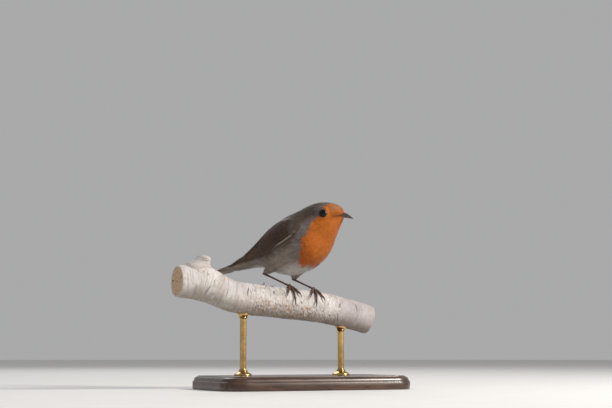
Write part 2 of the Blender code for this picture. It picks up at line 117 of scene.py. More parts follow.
def straightBody(station, angle):
    backX, backZ, bellyX, bellyZ, upper, lower = through(stations, station)
    turn = math.radians(angle)
    share = (1.0 - math.cos(turn)) / 2.0
    point = Vector((backX, 0, backZ)).lerp(Vector((bellyX, 0, bellyZ)), share)
    width = (upper + (lower - upper) * share) * abs(math.sin(turn)) ** fullness
    point.y = -width if angle < 180.0 else width
    return point


def body(station, angle):
    return turned(straightBody(station, angle), 1.0 - smooth(turnTo, turnFrom, station))


def bodyNormal(station, angle):
    ahead = body(min(station + 0.05, lastStation), angle) - body(station - 0.05, angle)
    return ahead.cross(body(station, angle + 1.5) - body(station, angle - 1.5)).normalized()


def wingPoint(side, t, c, height=0.0):  # t runs from the bend to the tip, c from the upper to the lower edge
    station, high, low = through(wingEdge, min(max(t, 0.0), wingEnd))
    share = t / wingEnd
    thick = wingThick["middle"] + (wingThick["tip"] - wingThick["middle"]) * smooth(0.45, 1.0, share)
    thick *= 0.62 + 0.38 * smooth(0.0, 0.14, share)
    crown = 1.0 - min(1.0, abs(2.0 * c - 1.0)) ** 3
    thick = wingThick["edge"] + (thick - wingThick["edge"]) * crown
    angle = high + (low - high) * c
    turn = angle if side < 0 else 360.0 - angle
    return (body(station, turn) + bodyNormal(station, turn) * (airGap + thick + height) + middle) * mm


def tailAlong(x):  # 0 at the tail's root, 1 at its tip
    return (x / mm - middle.x - tail["root"].x) / -(tail["length"] * math.cos(tail["drop"]))


def tailWide(t):  # half the tail's width
    return tail["half"][0] + (tail["half"][1] - tail["half"][0]) * smooth(0.0, 0.85, t)


def tailPoint(t, a, height=0.0):
    back = Vector((-math.cos(tail["drop"]), 0.0, -math.sin(tail["drop"])))
    up = Vector((-math.sin(tail["drop"]), 0.0, math.cos(tail["drop"])))
    arch = -0.95 * abs(a) ** 1.6 - 0.9 * t * abs(t)
    point = tail["root"] + back * (tail["length"] * t) + up * (arch + height)
    point.y = a * tailWide(t)
    return (point + middle) * mm


across = Vector((math.sin(perch["heading"]), -math.cos(perch["heading"]), 0.0))
along = Vector((math.cos(perch["heading"]), math.sin(perch["heading"]), 0.0))


def perchAxis(at):
    fall = perch["fall"] * max(at, perch["stubAt"]) + perch["droop"] * max(0.0, at) ** 2
    height = perch["height"] - fall + perch["kink"] * smooth(perch["kinkFrom"], perch["kinkTo"], at)
    return along * at + across * 1.6 * math.sin(at / 31.0) + Vector((0, 0, height))


def perchRadius(at, angle):
    taper = 1.0 - 0.0003 * (at + 20.0)
    swell = 0.15 * math.exp(-(((at - perch["stubAt"]) / 11.0) ** 2))
    knot = 0.05 * math.exp(-(((at + 38.0) / 7.0) ** 2)) * max(0.0, math.cos(angle + 2.2))
    oval = 0.02 * math.cos(2.0 * angle + at / 40.0)
    ripple = 0.012 * math.sin(3.0 * angle + at / 9.0) * smooth(14.0, 30.0, abs(at))
    return perch["radius"] * (taper + swell + knot + oval + ripple)


def perchFrame(at):
    ahead = (perchAxis(at + 0.5) - perchAxis(at - 0.5)).normalized()
    side = (across - ahead * across.dot(ahead)).normalized()
    up = side.cross(ahead)
    return ahead, side, up if up.z > 0 else -up


def onPerch(at, angle, height=0.0):
    ahead, side, up = perchFrame(at)
    return perchAxis(at) + (up * math.cos(angle) + side * math.sin(angle)) * (perchRadius(at, angle) + height)


# helpers


def newPiece(name, mesh, *materials):
    obj = bpy.data.objects.new(name, mesh)
    bpy.context.scene.collection.objects.link(obj)
    for one in materials:
        mesh.materials.append(one)
    return obj


def settle(obj, slotName, *nodes):
    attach(obj, "root")
    if nodes:
        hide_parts(*nodes)
    return obj


def meshOf(name, points, faces):
    mesh = bpy.data.meshes.new(name)
    mesh.from_pydata([tuple(p) for p in points], [], faces)
    mesh.shade_smooth()
    return mesh


def circle(count):
    return [2.0 * math.pi * k / count for k in range(count)]


def loftFaces(rows, count, first=0, capped=True):
    faces = []
    for i, k in product(range(rows - 1), range(count)):
        a, b = first + i * count + k, first + i * count + (k + 1) % count
        faces.append((a, b, b + count, a + count))
    if capped:
        faces.append(tuple(first + k for k in reversed(range(count))))
        faces.append(tuple(first + (rows - 1) * count + k for k in range(count)))
    return faces


def moved(faces, first):
    return [tuple(first + k for k in face) for face in faces]


def outward(mesh):  # all faces of a closed mesh point out
    work = bmesh.new()
    work.from_mesh(mesh)
    bmesh.ops.recalc_face_normals(work, faces=work.faces)
    work.to_mesh(mesh)
    work.free()
    return mesh


def joined(name, meshes):
    points, faces = [], []
    for mesh in meshes:
        faces += moved([p.vertices for p in mesh.polygons], len(points))
        points += [v.co.copy() for v in mesh.vertices]
    return meshOf(name, points, faces)


def evaluated(obj, name):  # the plain mesh that an object's modifiers make
    graph = bpy.context.evaluated_depsgraph_get()
    source = obj.evaluated_get(graph)
    mesh = bpy.data.meshes.new_from_object(source, preserve_all_data_layers=True, depsgraph=graph)
    mesh.name = name
    obj.modifiers.clear()
    obj.data = mesh
    return mesh


def relax(work, verts):
    bmesh.ops.smooth_vert(work, verts=verts, factor=0.5, use_axis_x=True, use_axis_y=True, use_axis_z=True)


def marks(mesh, **layers):  # numbers, places or colours kept at every point; a lone value goes to all of them
    for name, values in layers.items():
        values = np.asarray(values, np.float32)
        if values.ndim == 0 or values.shape == (3,):
            values = np.broadcast_to(values, (len(mesh.vertices), *values.shape))
        kind, key = ("FLOAT_VECTOR", "vector") if values.ndim == 2 else ("FLOAT", "value")
        if name.endswith("Colour"):
            kind, key = "FLOAT_COLOR", "color"
            values = np.concatenate([values, np.ones((len(values), 1), np.float32)], axis=1)
        mesh.attributes.new(name, kind, "POINT").data.foreach_set(key, values.ravel())


def loopVertices(mesh):
    found = np.empty(len(mesh.loops), int)
    mesh.loops.foreach_get("vertex_index", found)
    return found


def solid(name, points, faces, material, slotName, *nodes, sharp=None, **layers):  # a closed piece
    mesh = outward(meshOf(name, points, faces))
    marks(mesh, **layers)
    if sharp:
        mesh.set_sharp_from_angle(angle=math.radians(sharp))
    return settle(newPiece(name, mesh, material), slotName, *nodes)


class Nodes:  # short hand for building a node tree
    def __init__(self, tree):
        self.tree = tree

    def add(self, kind, inputs=None, **settings):
        node = self.tree.nodes.new(kind)
        for key, value in settings.items():
            setattr(node, key, value)
        for key, value in (inputs or {}).items():
            self.feed(node.inputs[key], value)
        return node

    def feed(self, socket, value):
        if isinstance(value, bpy.types.NodeSocket):
            self.tree.links.new(value, socket)
        elif value is not None:
            socket.default_value = value

    def math(self, operation, *values):
        return self.add("ShaderNodeMath", dict(enumerate(values)), operation=operation).outputs[0]

    def times(self, *values):
        return functools.reduce(lambda a, b: self.math("MULTIPLY", a, b), values)

    def plus(self, *values):
        return functools.reduce(lambda a, b: self.math("ADD", a, b), values)

    def minus(self, a, b):
        return self.math("SUBTRACT", a, b)

    def vector(self, operation, *values):
        node = self.add("ShaderNodeVectorMath", dict(enumerate(values)), operation=operation)
        return node.outputs["Value" if operation in ("LENGTH", "DISTANCE") else "Vector"]

    def scaled(self, value, share):
        node = self.add("ShaderNodeVectorMath", {0: value, "Scale": share}, operation="SCALE")
        return node.outputs["Vector"]

    def join(self, x=None, y=None, z=None):
        return self.add("ShaderNodeCombineXYZ", {"X": x, "Y": y, "Z": z}).outputs[0]

    def split(self, value):
        return self.add("ShaderNodeSeparateXYZ", {0: value}).outputs

    def noise(self, *values):  # place, scale, detail, roughness and distortion
        labels = ("Vector", "Scale", "Detail", "Roughness", "Distortion")
        return self.add("ShaderNodeTexNoise", dict(zip(labels, values))).outputs[0]

    def span(self, value, low, high, first, last):  # value from low to high becomes first to last
        return self.add("ShaderNodeMapRange", {0: value, 1: low, 2: high, 3: first, 4: last}).outputs[0]

    def mix(self, share, *colours):
        node = self.add("ShaderNodeMix", {0: share}, data_type="RGBA")
        for socket, colour in zip((node.inputs[6], node.inputs[7]), colours):
            self.feed(socket, colour if isinstance(colour, bpy.types.NodeSocket) else (*colour, 1.0))
        return node.outputs[2]

    def field(self, name, out="Fac"):  # what marks() has kept on the mesh
        return self.add("ShaderNodeAttribute", attribute_name=name).outputs[out]

    def place(self):
        return self.add("ShaderNodeTexCoord").outputs["Object"]

    def effect(self, tree, **inputs):
        return self.add("ShaderNodeGroup", inputs, node_tree=tree).outputs


# the bird's surface as a guide: place, lie of the feathers and markings


def treeOf(places):
    tree = kdtree.KDTree(len(places))
    for i, place in enumerate(places):
        tree.insert(place, i)
    tree.balance()
    return tree


guideKey = list(product(np.linspace(0.0, lastStation, 129), np.arange(0.0, 360.0, 5.0)))
guideTree = treeOf([(body(s, a) + middle) * mm for s, a in guideKey])
guideStraight = np.array([straightBody(s, a) for s, a in guideKey])
guideFlow = np.array(
    [(body(min(s + 0.12, lastStation), a) - body(max(s - 0.12, 0.0), a)).normalized() for s, a in guideKey]
)
guideKey = np.array(guideKey)

wingKey = []
for side, i, k in product((-1, 1), range(37), range(13)):
    t, c = i / 4.0, k / 12.0
    ahead = wingPoint(side, min(t + 0.2, wingEnd), c) - wingPoint(side, max(t - 0.2, 0), c)
    wingKey.append((side, t, c, *ahead.normalized()))
wingTree = treeOf([wingPoint(*key[:3]) for key in wingKey])
wingKey = np.array(wingKey)

eyes = {}
for side, name in ((-1, "right"), (1, "left")):
    low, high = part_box("eye_" + name)
    look = (turned(Vector((28.16, side, 0.05))) - turned(Vector((28.0, 0, 0)))).normalized()
    centre, radius = (low + high) / 2.0, (high.z - low.z) / 2.0
    eyes[name] = SimpleNamespace(centre=centre, radius=radius, look=look, side=side)

markings = {  # linear colours
    "orange": (0.50, 0.135, 0.014), "orangeDeep": (0.36, 0.078, 0.008), "ash": (0.165, 0.143, 0.136),
    "crown": (0.082, 0.056, 0.040), "back": (0.078, 0.055, 0.042), "rump": (0.095, 0.062, 0.036),
    # wing: the wing's own dark brown, made darker still as painted shade
    "wing": (0.050, 0.027, 0.018), "flank": (0.25, 0.205, 0.172), "belly": (0.60, 0.56, 0.52),
    # undertailShaded: the undertail's own buff white, darkened as painted shade beneath the tail
    "undertailShaded": (0.28, 0.225, 0.18), "thigh": (0.24, 0.20, 0.17), "brow": (0.46, 0.235, 0.115),
    "bend": (0.112, 0.088, 0.074), "streak": (0.27, 0.215, 0.17), "eyeRing": (0.07, 0.040, 0.025),
}
orangeEdge = (  # height, then how far forward the orange begins
    (-14.0, 17.2), (-8.0, 18.6), (0.0, 19.4), (7.0, 19.4), (10.3, 21.0), (14.9, 22.4), (19.5, 23.0),
    (21.4, 25.0), (23.2, 28.2), (25.0, 29.6), (27.4, 29.6), (28.6, 28.6), (30.0, 29.4), (31.2, 31.8),
    (34.0, 34.2),
)
coat = {  # in mm; depth and length of the tufts change from station to station
    "depth": ((0.0, 2.0, 4.0, 6.0, 8.0, 12.0, 14.0, 16.0), (0.35, 0.55, 0.8, 1.3, 1.8, 2.1, 1.5, 0.75)),
    "length": ((0.0, 2.0, 4.0, 6.0, 8.0, 12.0, 16.0), (1.3, 1.7, 2.4, 4.2, 6.2, 7.6, 7.0)),
    "backDepth": 0.72, "backLength": 0.85, "wingDepth": 1.05, "thighDepth": 0.8, "tailDepth": 0.45,
    "overTail": 0.95,
}


def wander(places, size, seed):  # soft noise at each place, -1 to 1
    return np.array([noise.noise(Vector(p) / (size * mm) + Vector((seed, 0, 0))) for p in places])


def blend(first, second, share):  # first where share is 0, second where it is 1
    share = share[:, None] if np.ndim(first) > 1 else share
    return first * (1.0 - share) + np.asarray(second) * share


def lengthOf(rows):
    return np.linalg.norm(rows, axis=1)


def coatFacts(places):
    # lie, depth, length and colour of the coat at each place, and what part of the bird it is
    near, found = [guideTree.find(p) for p in places], [wingTree.find(p) for p in places]
    spots, at = np.array(places), [f[1] for f in near]
    (station, turn), lie, (x, _, z) = guideKey[at].T, guideFlow[at], guideStraight[at].T
    side = np.where(turn < 180.0, -1.0, 1.0)
    angle = np.where(turn < 180.0, turn, 360.0 - turn)  # 0 on the back line, 180 on the belly line
    under = smooth(55.0, 125.0, angle)
    depth = np.interp(station, *coat["depth"]) * blend(coat["backDepth"], 1.0, under)
    length = np.interp(station, *coat["length"]) * blend(coat["backLength"], 1.0, under)

    wingT, wingC, *flow = wingKey[[f[1] for f in found]].T[1:]
    wingFar = np.array([f[2] for f in found]) / mm
    bodyFar = np.array([(Vector(p) - f[0]).length for p, f in zip(places, near)]) / mm
    wingShare = smooth(1.9, 1.2, wingFar) * smooth(0.45, 0.95, bodyFar) * (spots[:, 2] > 0.08)
    lie = blend(lie, np.array(flow).T, wingShare)
    depth = blend(depth * (1.0 - 0.5 * smooth(6.0, 1.5, wingFar)), coat["wingDepth"], wingShare)
    length = blend(length, 3.0, wingShare)

    thighShare, legNear, legDown = np.zeros((3, len(places)))
    for leg in legs.values():
        top, low = np.array((leg["thigh"] + middle) * mm), np.array((leg["heel"] + middle) * mm)
        way = low - top
        t = np.clip(((spots - top) @ way) / (way @ way), 0.0, 1.0)
        far = lengthOf(spots - (top + t[:, None] * way)) / mm
        share = smooth(8.0, 5.0, far + 3.0 * t) * smooth(0.0, 0.8, bodyFar + 1.4 * (t - 0.4))
        share *= smooth(0.12, 0.35, t) * (1.0 - wingShare)
        lie = blend(lie, way / np.linalg.norm(way), share)
        thighShare, legDown = np.maximum(thighShare, share), np.maximum(legDown, t * share)
        legNear = np.maximum(legNear, smooth(9.0, 6.0, far) * smooth(1.0, 0.85, t) * (1.0 - wingShare))
        depth = np.minimum(depth, 0.30 + 3.0 * smooth(0.95, 0.2, t) + 3.0 * (far > 5.0))
    besideLowEdge = (wingFar < 2.6) & (wingC > 0.94)
    length = np.where(besideLowEdge, 0.6 * length, length) * (1.0 - 0.35 * legNear)
    depth = np.minimum(depth, blend(depth, coat["thighDepth"], thighShare))
    length = blend(length, 3.2 - 1.7 * smooth(0.5, 0.9, legDown), thighShare)

    tailT = tailAlong(spots[:, 0])
    tailShare = smooth(-0.06, 0.05, tailT)
    level = np.clip(np.abs(spots[:, 1]) / mm / tailWide(tailT), 0.0, 1.2)
    tailZ = middle.z + tail["root"].z - math.sin(tail["drop"]) * tail["length"] * tailT
    tailZ = tailZ - 0.95 * level**1.6 - 0.9 * tailT * np.abs(tailT)
    underTail = smooth(0.25, -0.35, spots[:, 2] / mm - tailZ)
    depth = blend(depth, coat["tailDepth"] * (1.0 - 0.75 * np.minimum(level, 1.0) ** 2), tailShare)
    length = blend(length, 6.5 - 2.3 * smooth(0.0, 0.35, tailT), tailShare)
    lie = blend(lie, (-math.cos(tail["drop"]), 0.0, -math.sin(tail["drop"])), tailShare)

    eyeFar, eyeBare = np.full(len(places), 99.0), np.zeros(len(places), bool)
    for eye in eyes.values():
        off, axis = spots - np.array(eye.centre), np.array(eye.look)
        radial = off - (off @ axis)[:, None] * axis
        far = np.where(off @ axis > -0.002, lengthOf(radial) / mm, 99.0)
        swirl = radial / (lengthOf(radial)[:, None] + 1e-9)
        lie = blend(lie, swirl, 0.35 * smooth(6.5, 3.2, far))  # the lie swings round the eye
        eyeBare |= far < 2.5 + 1.15 * np.clip(-np.sum(lie * swirl, axis=1), 0.0, 1.0)
        eyeFar = np.minimum(eyeFar, far)
    closeIn, beyond = smooth(3.0, 7.5, eyeFar), smooth(6.0, 9.0, eyeFar)
    depth = np.minimum(depth, 0.28 + 0.9 * closeIn + 3.0 * beyond)
    length = np.minimum(length, 0.9 + 2.2 * closeIn + 6.0 * beyond)

    # markings, laid down one over another
    rough = wander(places, 2.2, 3) * 0.7 + wander(places, 0.8, 9) * 0.35
    ahead = x - np.interp(z, *zip(*orangeEdge)) + 0.9 * rough
    floorZ = -12.8 + 1.1 * rough
    ash = smooth(-7.5, -3.5, ahead) * smooth(9.5, 7.0, station + 0.25 * rough) * smooth(-16.0, -9.0, z)
    orange = smooth(-0.9, 0.9, ahead) * smooth(floorZ - 1.4, floorZ + 1.4, z)
    frontEdge = smooth(0.84, 0.92, wingC) * smooth(0.0, 0.5, wingT) * smooth(2.8, 1.9, wingT)
    brow = orange * smooth(24.5, 28.5, z) * smooth(32.0, 37.0, x) + 0.6 * orange * smooth(29.5, 32.0, z)
    deep = smooth(26.0, 15.0, x) * smooth(16.0, 2.0, z)
    colour = np.tile(markings["back"], (len(places), 1))
    for paint, share in (
        ("crown", smooth(8.5, 6.0, station) * smooth(95.0, 60.0, angle)),
        ("rump", smooth(12.0, 14.0, station) * (1.0 - under)),
        ("flank", smooth(88.0, 112.0, angle + 5.0 * rough)),
        ("belly", smooth(128.0, 158.0, angle + 7.0 * rough) * smooth(14.8, 13.2, station)),
        # undertailShaded carries painted shade under the tail as well as its buff colour
        ("undertailShaded", smooth(13.6, 15.0, station) * smooth(85.0, 110.0, angle)),
        ("thigh", thighShare * 0.8),
        ("undertailShaded", tailShare * underTail),
        ("rump", tailShare * (1.0 - underTail)),
        ("ash", 0.85 * ash * (1.0 - 0.45 * smooth(38.0, 12.0, angle))),
        (blend(np.tile(markings["orange"], (len(places), 1)), markings["orangeDeep"], deep), orange),
        ("wing", wingShare * smooth(2.2, 4.0, wingT)),
        ("bend", wingShare * smooth(4.0, 1.4, wingT) * (1.0 - orange)),
        ("streak", 0.9 * wingShare * frontEdge),
        ("brow", 0.6 * np.clip(brow, 0.0, 1.0)),
    ):
        colour = blend(colour, markings[paint] if isinstance(paint, str) else paint, share)
    gapeLine = smooth(0.75, 0.25, np.abs(z - 22.7 + 0.14 * (41.5 - x))) * smooth(36.2, 38.4, x)
    fromLores = np.abs(z - 23.0 + 0.12 * (41.0 - x)) + 0.4 * np.abs(x - 38.0)
    lores = smooth(3.4, 1.2, fromLores) * smooth(34.0, 36.5, x)
    tone = (1.0 - 0.66 * gapeLine) * (1.0 - 0.30 * lores)
    tone *= 1.0 + 0.10 * wander(places, 9.0, 21) + 0.10 * rough
    colour = blend(colour * tone[:, None], markings["eyeRing"], 0.85 * smooth(3.15, 2.75, eyeFar))
    return SimpleNamespace(
        station=station, angle=angle, side=side, x=x, lie=lie / (lengthOf(lie)[:, None] + 1e-9),
        depth=depth * mm, length=length * mm, colour=np.clip(colour, 0.0, 1.0), orange=orange,
        wingFar=wingFar, wingT=wingT, wingC=wingC, thighShare=thighShare, legNear=legNear, tailT=tailT,
        eyeFar=eyeFar, eyeBare=eyeBare, mapU=0.5 + 0.48 * side * (1.0 - angle / 180.0),
        mapV=station / lastStation,
    )


# one skin from the nodes of flesh
skinSettings = {
    "from": ("head", "neck", "trunk", "thigh_left", "thigh_right", "wing_left", "wing_right", "tail"),
    "voxel": 0.45, "grow": 0.22, "socket": 5.0, "aroundEye": 6.5,
}


def looseCopy(nodeName):
    work = bmesh.new()
    work.from_mesh(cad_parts[nodeName].data)
    bmesh.ops.remove_doubles(work, verts=work.verts, dist=0.000002)
    bmesh.ops.recalc_face_normals(work, faces=work.faces)
    for v in work.verts:
        v.co += v.normal * skinSettings["grow"] * mm
    mesh = bpy.data.meshes.new("copy")
    work.to_mesh(mesh)
    work.free()
    return mesh


def faceSurface(place):
    station, angle = guideKey[guideTree.find(place)[1]]
    out = bodyNormal(station, angle)
    return (body(station, angle) + middle) * mm, out if out.y * place.y > 0 else -out


def overSocket(place):  # the face's own smooth surface, where the solid head has its eye sockets
    for eye in eyes.values():
        off = place - eye.centre
        axial = off.dot(eye.look)
        if axial > -0.004 and (off - eye.look * axial).length < skinSettings["socket"] * mm:
            for turn in range(4):
                surface, out = faceSurface(place)
                place = place + eye.look * ((surface - place).dot(out) / eye.look.dot(out))
            return place + out * skinSettings["grow"] * mm
    return place


def roundLids(place):  # the skin rises to the lids round each eyeball, and the cheek doesn't bury them
    for eye in eyes.values():
        off = place - eye.centre
        high = off.dot(eye.look)
        radial = (off - eye.look * high).length / mm
        if high > -0.004 and radial < 5.0:
            lidHigh = 2.26 - 0.80 * max(0.0, radial - 2.75)
            cheek = 2.30 + 0.35 * max(0.0, radial - 3.0)
            return place + eye.look * (min(max(high / mm, lidHigh), cheek) * mm - high)
    return place


def keepOuterShell(work):
    seen, shells = set(), []
    for v in work.verts:
        if v not in seen:
            shell = [v]
            seen.add(v)
            for one in shell:  # the list grows while it is walked
                fresh = [w for w in (e.other_vert(one) for e in one.link_edges) if w not in seen]
                seen.update(fresh)
                shell += fresh
            shells.append(shell)
    shells.sort(key=len)
    for shell in shells[:-1]:
        bmesh.ops.delete(work, geom=shell, context="VERTS")


def makeSkin():
    obj = newPiece("robin_skin", joined("fleshSource", [looseCopy(name) for name in skinSettings["from"]]))
    change = obj.modifiers.new("remesh", "REMESH")
    change.mode = "VOXEL"
    change.voxel_size = skinSettings["voxel"] * mm * 1.0
    soften = obj.modifiers.new("soften", "SMOOTH")
    soften.factor, soften.iterations = 0.5, 4
    mesh = evaluated(obj, "robin_skin")
    work = bmesh.new()
    work.from_mesh(mesh)
    keepOuterShell(work)
    reach = skinSettings["aroundEye"] * mm
    nearEye = [v for v in work.verts if min((v.co - eye.centre).length for eye in eyes.values()) < reach]
    for v in nearEye:
        v.co = overSocket(v.co)
    for turn in range(12):
        relax(work, nearEye)
    for v in nearEye:
        v.co = overSocket(v.co)
    work.normal_update()
    facts = coatFacts([v.co.copy() for v in work.verts])
    for v, deep, far in zip(work.verts, facts.depth + skinSettings["grow"] * mm, facts.eyeFar):
        v.co -= (v.normal if far > 5.0 else faceSurface(v.co)[1]) * float(deep)
    wingRim = (facts.wingC < 0.10) | (facts.wingC > 0.90) | (facts.wingT < 0.7) | (facts.wingT > 8.6)
    soft = (facts.legNear > 0.02) | (wingRim & (facts.wingFar < 3.0))
    bend = ((facts.wingT < 1.3) & (facts.wingFar < 5.0)) | (np.abs(facts.tailT) < 0.16)
    soft, bend = ([v for v, chosen in zip(work.verts, mask) if chosen] for mask in (soft, bend))
    for turn in range(60):
        relax(work, work.verts if turn < 3 else soft if turn < 18 else bend)
    for v in nearEye:
        v.co = roundLids(v.co)
    work.to_mesh(mesh)
    work.free()
    mesh.shade_smooth()
    return obj


skin = makeSkin()
skinMesh = skin.data
print("skin", len(skinMesh.vertices), "points")


# the guide that the feathers are rooted in and lie over


def makeGuide():
    guide = newPiece("coatGuide", skinMesh.copy())
    mesh = guide.data
    facts = coatFacts([v.co.copy() for v in mesh.vertices])
    t, station, angle, eyeFar = facts.tailT, facts.station, facts.angle, facts.eyeFar
    wingT, wingC, wingFar = facts.wingT, facts.wingC, facts.wingFar
    normals = np.array([v.normal for v in mesh.vertices])
    onTail, below = t > 0.0, normals[:, 2] < 0.25
    facts.colour[onTail & ~below] = np.array(markings["rump"]) * 0.9
    inChart = (wingFar < 2.6) & (wingC > 0.05) & (wingC < 0.95) & (wingT > 0.15) & (wingT < 8.9)
    wing, thigh = inChart & ~onTail, (facts.thighShare > 0.45) & ~onTail & ~inChart
    bare = facts.eyeBare | (facts.x > 42.3)
    rearward = np.sum(normals * facts.lie, axis=1) > 0.75  # the blunt end of the trunk
    groove = (wingFar < 1.8) & (wingC > 0.94)
    trunk = (station >= 6.5) & ~wing & ~thigh & ~onTail & ~rearward & ~groove
    under, orange, leftSide = trunk & (angle > 84.0), facts.orange > 0.5, facts.side > 0
    level = np.array([v.co.y for v in mesh.vertices]) / mm
    upperRoot = ~below & (t < 0.20) & (np.abs(level) < 0.84 * tailWide(t))
    regions = {
        "face": ((station < 3.3) | (eyeFar < 5.4)) & ~bare & ~onTail,
        "head": (station >= 3.2) & (station < 6.7) & (eyeFar >= 5.2) & ~onTail & ~wing,
        "breast": under & orange, "bellyLeft": under & ~orange & leftSide,
        "bellyRight": under & ~orange & ~leftSide,
        "back": trunk & (angle <= 88.0),
        "thigh": thigh,
        "scapular": wing & (wingC < 0.22 - 0.03 * wingT) & (wingT < 5.0),
        "wingBend": wing & (wingT < 1.7 + 0.8 * (1.0 - wingC)),
        "tailRoot": onTail & ((below & (t < 0.38)) | upperRoot),
    }
    depth = np.where((t > -0.02) & ~below, coat["overTail"] * mm, facts.depth)
    lay = {"lie": facts.lie, "skinNormal": normals, "coatColour": facts.colour}
    marks(mesh, **regions, depth=depth, length=facts.length, **lay)
    vertex = loopVertices(mesh)
    u, v = facts.mapU[vertex], facts.mapV[vertex] * 0.96 + 0.03 * np.clip(t[vertex], 0.0, 1.0)
    starts = np.array([p.loop_start for p in mesh.polygons])
    faceOf = np.repeat(np.arange(len(starts)), [p.loop_total for p in mesh.polygons])
    wide = (np.maximum.reduceat(u, starts) - np.minimum.reduceat(u, starts))[faceOf]
    u = np.where((wide > 0.5) & (u > 0.5), u - 0.96, u)  # faces across the belly line stay whole
    layer = mesh.attributes.new("skinMap", "FLOAT2", "CORNER")
    layer.data.foreach_set("vector", np.stack([u, v], axis=1).astype(np.float32).ravel())
    guide.hide_render = True
    return guide, facts.colour, list(regions)


guide, guideColour, regionNames = makeGuide()
print("coat guide ready")


# eyelids: a soft ring that hugs each eyeball and sinks into the face
lids = {
    "inner": 2.62, "around": 96, "colour": (0.011, 0.0085, 0.008), "rim": (0.045, 0.027, 0.018),
    # out from the inner edge, and above the line where the ring touches the eyeball
    "profile": (
        (0.0, -0.10), (0.01, 0.01), (0.05, 0.04), (0.12, 0.04), (0.19, -0.03), (0.25, -0.16),
        (0.29, -0.35), (0.32, -0.70), (0.35, -1.2), (0.2, -1.2), (-0.1, -0.6),
    ),
}


def lidRing(eye):
    ahead = (Vector((1, 0, 0)) - eye.look * eye.look.x).normalized()
    up = ahead.cross(eye.look) * (1 if eye.side < 0 else -1)
    if up.z < 0:
        up = -up
    touch = math.sqrt((eye.radius / mm) ** 2 - lids["inner"] ** 2)
    points, tint = [], []
    for i, (out, rise) in enumerate(lids["profile"]):
        for turn in circle(lids["around"]):
            cosine = math.cos(turn)
            oval = 1.0 + 0.025 * math.cos(2.0 * turn)
            oval += 0.03 * max(0.0, cosine) ** 8 + 0.02 * max(0.0, -cosine) ** 8
            fold = 0.025 * math.sin(23.0 * turn + i) * (1.0 if 1 < i < 6 else 0.0)
            way = (ahead * cosine + up * math.sin(turn)) * ((lids["inner"] + out) * oval)
            points.append(eye.centre + (way + eye.look * (touch + rise + fold)) * mm)
            tint.append(lids["rim"] if 4 <= i <= 7 else lids["colour"])
    rows, around = len(lids["profile"]), lids["around"]
    faces = [
        tuple(row % rows * around + k % around for row, k in ((i, k), (i, k + 1), (i + 1, k + 1), (i + 1, k)))
        for i, k in product(range(rows), range(around))
    ]
    return outward(meshOf("lid", points, faces)), tint


def finishSkin(material, lidMaterial):
    rings = [lidRing(eye) for eye in eyes.values()]
    for v in skinMesh.vertices:  # drawn in to a thin tongue under the tail's quills
        t = tailAlong(v.co.x)
        if t > 0.36:
            a = max(-1.0, min(1.0, v.co.y / mm / tailWide(t)))
            v.co = v.co.lerp(tailPoint(min(t, 0.68), 0.75 * a, -0.15), 0.95 * smooth(0.36, 0.62, t))
    mesh = joined("robin_skin", [skinMesh] + [ring[0] for ring in rings])
    marks(mesh, coatColour=np.concatenate([guideColour] + [np.array(ring[1]) for ring in rings]))
    mesh.materials.append(material)
    mesh.materials.append(lidMaterial)
    slots = np.arange(len(mesh.polygons)) >= len(skinMesh.polygons)
    mesh.polygons.foreach_set("material_index", slots.astype(np.int32))
    skin.data = mesh
    return settle(skin, "grey_plumage", "head", "neck", "trunk", "thigh_left", "thigh_right")


# vanes: small feathers of loose barbs


def makeVane(name, barbs, rows, wide, loose, seed):
    # a feather one unit long: barbs leave the shaft in turn and end on a rounded tip
    rng = np.random.default_rng(seed)
    points, faces, facts = [], [], []
    for j in range(barbs):
        q = 2.0 * j / (barbs - 1) - 1.0
        jitter = rng.uniform(-1, 1, 3)
        startX = 0.50 * (1.0 - abs(q) ** 1.2)
        endX = 1.0 - 0.42 * abs(q) ** 2.0 + 0.09 * loose * jitter[0]
        endY = wide * (0.92 * q + 1.3 * loose * jitter[1] / barbs)
        thick = 1.2 * wide / barbs
        for r in range(rows + 1):
            t = r / rows
            x = startX + (endX - startX) * t
            y = endY * (1.0 - (1.0 - t) ** 1.7)
            half = thick * (1.0 - t**2.2) * (0.75 + 0.5 * t)
            curl = 1.0 - (1.0 - min(x, 1.1) / 0.85) ** 2  # the tip bends back to the body
            lift = (0.60 * (0.04 + x) ** 1.15 + 0.40 * curl) * (1.0 - 0.12 * abs(q)) + 0.07 * jitter[2] * t
            sides = (0.0,) if r == rows else (-half, half)
            row = tuple(range(len(points), len(points) + len(sides)))
            if r:
                faces.append((row[0] - 2, *row, row[0] - 1))
            points += [(x, y + out, 0.0) for out in sides]
            facts += [(x, q, lift)] * len(sides)
    mesh = meshOf(name, points, faces)
    marks(mesh, **dict(zip(("vaneAlong", "vaneAcross", "lift"), np.array(facts).T)))
    return mesh


def vaneCollection(name, count, **shape):
    made = bpy.data.collections.new(name)
    for i in range(count):
        obj = bpy.data.objects.new(f"{name}{i}", makeVane(f"{name}{i}", seed=11 * i + 5, **shape))
        made.objects.link(obj)
    return made


